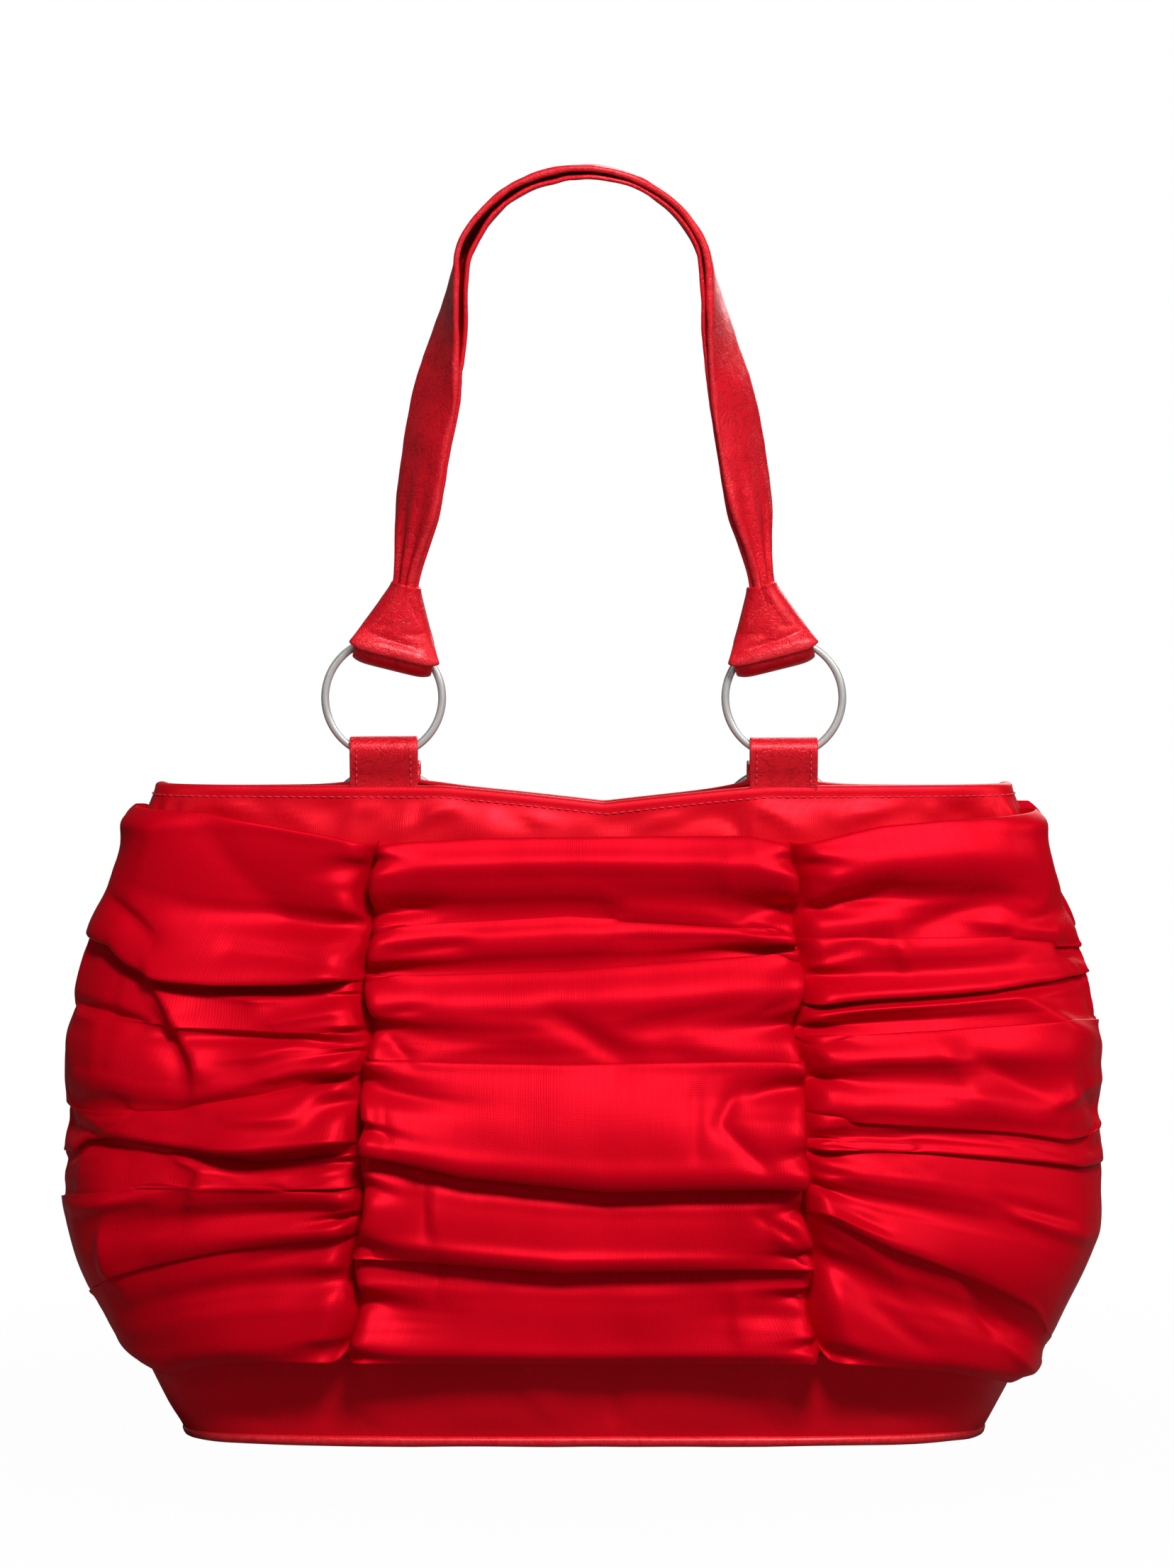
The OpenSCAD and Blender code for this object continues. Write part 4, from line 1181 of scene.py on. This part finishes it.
def new_group(name, colours, numbers):
    """An empty group with these inputs, to give a colour, a roughness and a height."""
    group = bpy.data.node_groups.new(name, "ShaderNodeTree")
    for way, labels, kind in (
        ("INPUT", colours, COLOUR), ("INPUT", numbers, NUMBER),
        ("OUTPUT", ("Color",), COLOUR), ("OUTPUT", ("Roughness", "Height"), NUMBER),
    ):
        for label in labels:
            group.interface.new_socket(label, in_out=way, socket_type=kind)
    return group, group.nodes.new("NodeGroupInput").outputs, group.nodes.new("NodeGroupOutput").inputs


class Wiring:
    """Adds nodes to a tree and links them in one call."""

    def __init__(self, tree):
        self.tree = tree

    def node(self, kind, **settings):
        made = self.tree.nodes.new(kind)
        for key, value in settings.items():
            setattr(made, key, value)
        return made

    def feed(self, socket, value):
        if isinstance(value, bpy.types.NodeSocket):
            self.tree.links.new(value, socket)
        else:
            socket.default_value = value

    def math(self, operation, *values, clamp=False):
        made = self.node("ShaderNodeMath", operation=operation, use_clamp=clamp)
        for socket, value in zip(made.inputs, values):
            self.feed(socket, value)
        return made.outputs[0]

    def add(self, a, b, clamp=False):
        return self.math("ADD", a, b, clamp=clamp)

    def less(self, a, b):
        return self.math("SUBTRACT", a, b)

    def times(self, a, b):
        return self.math("MULTIPLY", a, b)

    def mix_colour(self, share, a, b):
        made = self.node("ShaderNodeMix", data_type="RGBA")
        self.feed(made.inputs["Factor"], share)
        self.feed(made.inputs["A"], a)
        self.feed(made.inputs["B"], b)
        return made.outputs["Result"]

    def scaled(self, vector, by):
        made = self.node("ShaderNodeVectorMath", operation="MULTIPLY")
        self.feed(made.inputs[0], vector)
        self.feed(made.inputs[1], by)
        return made.outputs[0]

    def millimetres(self):
        return self.scaled(self.node("ShaderNodeTexCoord").outputs["Object"], (1000, 1000, 1000))

    def noise(self, vector, scale, detail=2.0, distortion=0.0):
        made = self.node("ShaderNodeTexNoise")
        given = {"Vector": vector, "Scale": scale, "Detail": detail, "Distortion": distortion}
        for label, value in given.items():
            self.feed(made.inputs[label], value)
        return made.outputs["Fac"]

    def ramp(self, value, low, high, to_low=0.0, to_high=1.0):
        made = self.node("ShaderNodeMapRange", clamp=True)
        given = {"Value": value, "From Min": low, "From Max": high, "To Min": to_low, "To Max": to_high}
        for label, number in given.items():
            self.feed(made.inputs[label], number)
        return made.outputs["Result"]


def weave_group():
    """Ribbed weave along the cloth, from the cloth's own coordinates in mm."""
    group, given, made = new_group(
        "cloth_weave", ("Face", "Shade"), ("Rib", "Cross", "Rib Depth", "Roughness"))
    w = Wiring(group)
    cloth = w.node("ShaderNodeAttribute", attribute_name="cloth").outputs["Vector"]
    axes = w.node("ShaderNodeSeparateXYZ")
    w.feed(axes.inputs[0], cloth)
    stray = w.noise(w.scaled(cloth, (0.35, 0.02, 1)), 1.0, 3)
    patch = w.ramp(w.noise(cloth, 0.022, 3), 0.4, 0.62)

    def thread(axis, pitch, shift):
        turns = w.add(w.math("DIVIDE", axis, pitch), shift)
        wave = w.math("SINE", w.times(turns, 2 * math.pi))
        return w.math("MULTIPLY_ADD", wave, 0.5, 0.5)

    rib = thread(axes.outputs["X"], given["Rib"], w.times(stray, 2.2))
    cross = thread(axes.outputs["Y"], given["Cross"], 0.0)
    ribbed = w.times(w.times(rib, given["Rib Depth"]), w.math("MULTIPLY_ADD", patch, 0.7, 0.3))
    streak = w.ramp(w.noise(w.scaled(cloth, (1.1, 0.045, 1)), 1.0, 4), 0.35, 0.7)
    cloud = w.ramp(w.noise(cloth, 0.012, 3, 0.8), 0.35, 0.65)
    uneven = w.add(w.times(streak, 0.1), w.times(cloud, 0.12))
    shade = w.add(w.times(w.less(1.0, rib), w.times(patch, 0.12)), uneven, clamp=True)
    w.feed(made["Color"], w.mix_colour(shade, given["Face"], given["Shade"]))
    w.feed(made["Roughness"], w.math("MULTIPLY_ADD", streak, 0.04, given["Roughness"], clamp=True))
    w.feed(made["Height"], w.add(ribbed, w.times(cross, 0.2)))
    return group


def grain_group():
    """Leather grain with fine creases and rubbed edges, in millimetres. The crease lines are darkened as
    painted shade, and the marked edges are lightened, partly as rubbed wear and partly as a painted
    highlight.
    """
    group, given, made = new_group("leather_grain", ("Face", "Crease Shade", "Wear And Highlight"), ("Roughness",))
    w = Wiring(group)
    place = w.millimetres()
    pebble = w.node("ShaderNodeTexVoronoi", feature="DISTANCE_TO_EDGE")
    w.feed(pebble.inputs["Vector"], place)
    w.feed(pebble.inputs["Scale"], 0.85)
    pebbles = w.ramp(pebble.outputs["Distance"], 0.0, 0.22)

    def crease_lines(scale, width):
        n = w.noise(place, scale, 4, 1.4)
        return w.ramp(w.math("ABSOLUTE", w.less(n, 0.5)), 0.0, width)

    broad, fine = crease_lines(0.11, 0.035), crease_lines(0.33, 0.05)
    height = w.add(w.times(pebbles, 0.22), w.add(w.times(broad, 0.5), w.times(fine, 0.3)))
    cloud = w.ramp(w.noise(place, 0.05, 3), 0.35, 0.7)
    # Painted shade: the crease lines are darkened towards the Crease Shade colour; the cloud adds a random
    # uneven tone
    faint = w.add(w.times(w.less(1.0, fine), 0.22), w.times(cloud, 0.08))
    dark = w.add(w.times(w.less(1.0, broad), 0.4), faint, clamp=True)
    tone = w.mix_colour(dark, given["Face"], given["Crease Shade"])
    # Painted highlight: where the edge attribute marks it, the leather is lightened towards the Wear And
    # Highlight colour, partly rubbed wear and partly a painted highlight along fold edges and lips
    edge = w.node("ShaderNodeAttribute", attribute_name="edge").outputs["Fac"]
    rubbed = w.times(edge, w.ramp(w.noise(place, 0.4, 3), 0.35, 0.75, 0.05, 0.4))
    dull = w.less(w.times(cloud, 0.12), w.times(broad, 0.05))
    w.feed(made["Color"], w.mix_colour(rubbed, tone, given["Wear And Highlight"]))
    w.feed(made["Roughness"], w.add(given["Roughness"], dull, clamp=True))
    w.feed(made["Height"], height)
    return group


def rubbed_group():
    """Fine rubbed lines and a faint tarnish on metal."""
    group, given, made = new_group("rubbed_metal", ("Face", "Tarnish"), ("Roughness",))
    w = Wiring(group)
    place = w.millimetres()
    lines = w.noise(w.scaled(place, (1, 6, 1)), 1.4, 4)
    cloud = w.ramp(w.noise(place, 0.12, 3), 0.4, 0.7)
    w.feed(made["Color"], w.mix_colour(w.times(cloud, 0.4), given["Face"], given["Tarnish"]))
    w.feed(made["Roughness"], w.add(given["Roughness"], w.times(lines, 0.14), clamp=True))
    w.feed(made["Height"], lines)
    return group


def finish_from(name, group, values, relief, sockets):
    """A material whose colour, roughness and relief come from a group."""
    material = bpy.data.materials.new(name)
    material.use_nodes = True
    w = Wiring(material.node_tree)
    shader = material.node_tree.nodes["Principled BSDF"]
    effect = w.node("ShaderNodeGroup", node_tree=group)
    raised = w.node("ShaderNodeBump")
    height = {"Strength": 1.0, "Distance": relief * MM}
    for node, given in ((shader, sockets), (effect, values), (raised, height)):
        for label, value in given.items():
            node.inputs[label].default_value = value
    w.feed(raised.inputs["Height"], effect.outputs["Height"])
    w.feed(shader.inputs["Base Color"], effect.outputs["Color"])
    w.feed(shader.inputs["Roughness"], effect.outputs["Roughness"])
    w.feed(shader.inputs["Normal"], raised.outputs["Normal"])
    return material


SATIN_SHADE = rgb(0.34, 0.0, 0.003)


def plain_satin_painted_lighter(weave):
    # Painted light: the face is lighter than the ruched satin of the same cloth, so that the band at the
    # mouth reads brighter
    values = {"Face": rgb(0.68, 0.001, 0.01), "Shade": SATIN_SHADE, "Rib": 0.8, "Cross": 0.5,
              "Rib Depth": 0.55, "Roughness": 0.4}
    shine = {"Metallic": 0.25, "Specular IOR Level": 0.5, "Specular Tint": rgb(1.0, 0.18, 0.25)}
    return finish_from("plain_satin_painted_lighter", weave, values, 0.05, shine)


def ruched_satin(weave):
    values = {"Face": rgb(0.56, 0.0, 0.008), "Shade": SATIN_SHADE, "Rib": 0.9, "Cross": 0.5,
              "Rib Depth": 0.35, "Roughness": 0.44}
    shine = {"Metallic": 0.22, "Specular IOR Level": 0.3, "Specular Tint": rgb(1.0, 0.08, 0.15)}
    return finish_from("ruched_satin", weave, values, 0.05, shine)


def lining_twill(weave):
    values = {"Face": rgb(0.26, 0.004, 0.012), "Shade": rgb(0.13, 0.001, 0.005), "Rib": 0.6, "Cross": 0.6,
              "Rib Depth": 0.6, "Roughness": 0.6}
    return finish_from("lining_twill", weave, values, 0.08, {"Specular IOR Level": 0.25})


def stay_tape(weave):
    values = {"Face": rgb(0.32, 0.006, 0.016), "Shade": rgb(0.16, 0.002, 0.006), "Rib": 1.4, "Cross": 0.9,
              "Rib Depth": 0.9, "Roughness": 0.7}
    return finish_from("stay_tape", weave, values, 0.12, {"Specular IOR Level": 0.2})


def red_leather(name, grain, relief):
    # Crease Shade is painted shade in the grain's creases; Wear And Highlight is rubbed wear and a painted
    # highlight on the marked edges
    values = {"Face": rgb(0.7, 0.005, 0.016), "Crease Shade": rgb(0.34, 0.001, 0.005),
              "Wear And Highlight": rgb(0.75, 0.06, 0.07), "Roughness": 0.36}
    shine = {"Metallic": 0.15, "Specular IOR Level": 0.5, "Specular Tint": rgb(1.0, 0.36, 0.38),
             "Coat Weight": 0.12, "Coat Roughness": 0.28}
    return finish_from(name, grain, values, relief, shine)


def satin_nickel(rubbed):
    values = {"Face": rgb(0.66, 0.65, 0.63), "Tarnish": rgb(0.52, 0.51, 0.49), "Roughness": 0.3}
    return finish_from("satin_nickel", rubbed, values, 0.003, {"Metallic": 0.55})


def sewing_thread(grain):
    # Crease Shade darkens the grain's creases as painted shade
    values = {"Face": rgb(0.72, 0.035, 0.06), "Crease Shade": rgb(0.5, 0.01, 0.03),
              "Wear And Highlight": rgb(0.8, 0.1, 0.12), "Roughness": 0.5}
    return finish_from("sewing_thread", grain, values, 0.03, {"Specular IOR Level": 0.3})


def grey_board(grain):
    # Crease Shade darkens the grain's creases as painted shade
    values = {"Face": rgb(0.33, 0.31, 0.29), "Crease Shade": rgb(0.22, 0.2, 0.19),
              "Wear And Highlight": rgb(0.4, 0.38, 0.36), "Roughness": 0.8}
    return finish_from("grey_board", grain, values, 0.05, {"Specular IOR Level": 0.2})


# Stage and light

WORLD_LIGHT, WORLD_GLOSS = 0.03, 0.12
FLOOR_WHITE = 0.25
FLOOR_SHADOW, SHADOW_NEAR, SHADOW_FAR = 0.02, 0.2, 0.5


def add_floor():
    bpy.ops.mesh.primitive_plane_add(size=12, location=(0, 2, 0))
    floor = bpy.context.object
    floor.name = "floor"
    pale = bpy.data.materials.new("pale_floor")
    pale.use_nodes = True
    w = Wiring(pale.node_tree)
    shader = pale.node_tree.nodes["Principled BSDF"]
    w.feed(shader.inputs["Base Color"], rgb(FLOOR_WHITE, FLOOR_WHITE, FLOOR_WHITE))
    w.feed(shader.inputs["Roughness"], 0.9)
    w.feed(shader.inputs["Specular IOR Level"], 0.0)
    glow = w.node("ShaderNodeEmission")
    share = w.node("ShaderNodeMixShader")
    # The floor is white in the picture, with a faint shadow close to the bag
    far = w.node("ShaderNodeVectorMath", operation="LENGTH")
    w.feed(far.inputs[0], w.node("ShaderNodeNewGeometry").outputs["Position"])
    white = w.ramp(far.outputs["Value"], SHADOW_NEAR, SHADOW_FAR, 1 - FLOOR_SHADOW, 1.0)
    w.feed(share.inputs["Fac"], w.times(w.node("ShaderNodeLightPath").outputs["Is Camera Ray"], white))
    w.feed(share.inputs[1], shader.outputs[0])
    w.feed(share.inputs[2], glow.outputs[0])
    w.feed(pale.node_tree.nodes["Material Output"].inputs["Surface"], share.outputs[0])
    floor.data.materials.append(pale)


def add_sky():
    """White in the picture, dim as a light and a little brighter in glossy cloth."""
    world = bpy.data.worlds.new("studio")
    bpy.context.scene.world = world
    world.use_nodes = True
    w = Wiring(world.node_tree)
    ray = w.node("ShaderNodeLightPath").outputs
    sky = world.node_tree.nodes["Background"]
    w.feed(sky.inputs["Color"], rgb(1, 1, 1))
    level = w.ramp(ray["Is Glossy Ray"], 0, 1, WORLD_LIGHT, WORLD_GLOSS)
    seen = w.math("MAXIMUM", ray["Is Camera Ray"], ray["Is Transmission Ray"])
    w.feed(sky.inputs["Strength"], w.math("MAXIMUM", level, seen))


def add_lamp(name, place, aim, size, power):
    lamp = bpy.data.lights.new(name, "AREA")
    lamp.shape, lamp.size, lamp.energy = "DISK", size, power
    holder = bpy.data.objects.new(name, lamp)
    holder.location = place
    way = np.array(aim) - np.array(place)
    holder.rotation_euler = (
        math.atan2(math.hypot(way[0], way[1]), -way[2]), 0, math.atan2(way[1], way[0]) - math.pi / 2)
    bpy.context.scene.collection.objects.link(holder)


def add_lights():
    middle = (0, 0, 0.2)
    add_lamp("key", (0.25, -1.05, 1.3), middle, size=0.42, power=24.5)
    add_lamp("fill", (0.6, -2.0, 0.35), middle, size=0.9, power=1.8)
    add_lamp("side", (1.3, -0.7, 0.95), (0.05, 0, 0.36), size=0.5, power=6)
    add_lamp("left", (-1.2, -1.2, 0.8), (-0.05, 0, 0.38), size=0.5, power=2)
    add_lamp("back", (0.6, 1.6, 1.1), middle, size=1.2, power=18)


# Assembly

def upright(points):
    return points


def add_body(weave, grain):
    satin, lining = plain_satin_painted_lighter(weave), lining_twill(weave)
    board, thread = grey_board(grain), sewing_thread(grain)
    add_ruching(ruched_satin(weave))
    add_walls(satin)
    add_lining(lining)
    add_facing(satin)
    add_base(satin, lining)
    add_tapes(stay_tape(weave))
    add_interlining(board)
    add_piping(red_leather("piping_leather", grain, 0.07))
    add_rim_stitching(thread)
    add_tab_stitching(thread)
    dress_board(board)


def dress_board(finish):
    """The board is seen as its own solid."""
    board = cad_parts["base_board"]
    board.data.materials.clear()
    board.data.materials.append(finish)


def add_handles(leather, nickel):
    # The back rings, knots and strap hang, and the front ones stand
    for face, ring_place, strap_place in (("front", upright, upright), ("back", hang_ring, hang_strap)):
        for side, word in ((-1, "left"), (1, "right")):
            word = OPPOSITE[word] if face == "back" else word
            add_tab(face, word, side, leather)
            add_ring(face, word, side, ring_place, nickel)
            add_knot(face, word, side, strap_place, leather)
        add_strap(face, strap_place, leather)


def build():
    weave, grain, rubbed = weave_group(), grain_group(), rubbed_group()
    add_body(weave, grain)
    add_handles(red_leather("creased_leather", grain, 0.16), satin_nickel(rubbed))
    add_floor()
    add_sky()
    add_lights()
    bpy.context.scene.view_settings.view_transform = "Standard"


build()
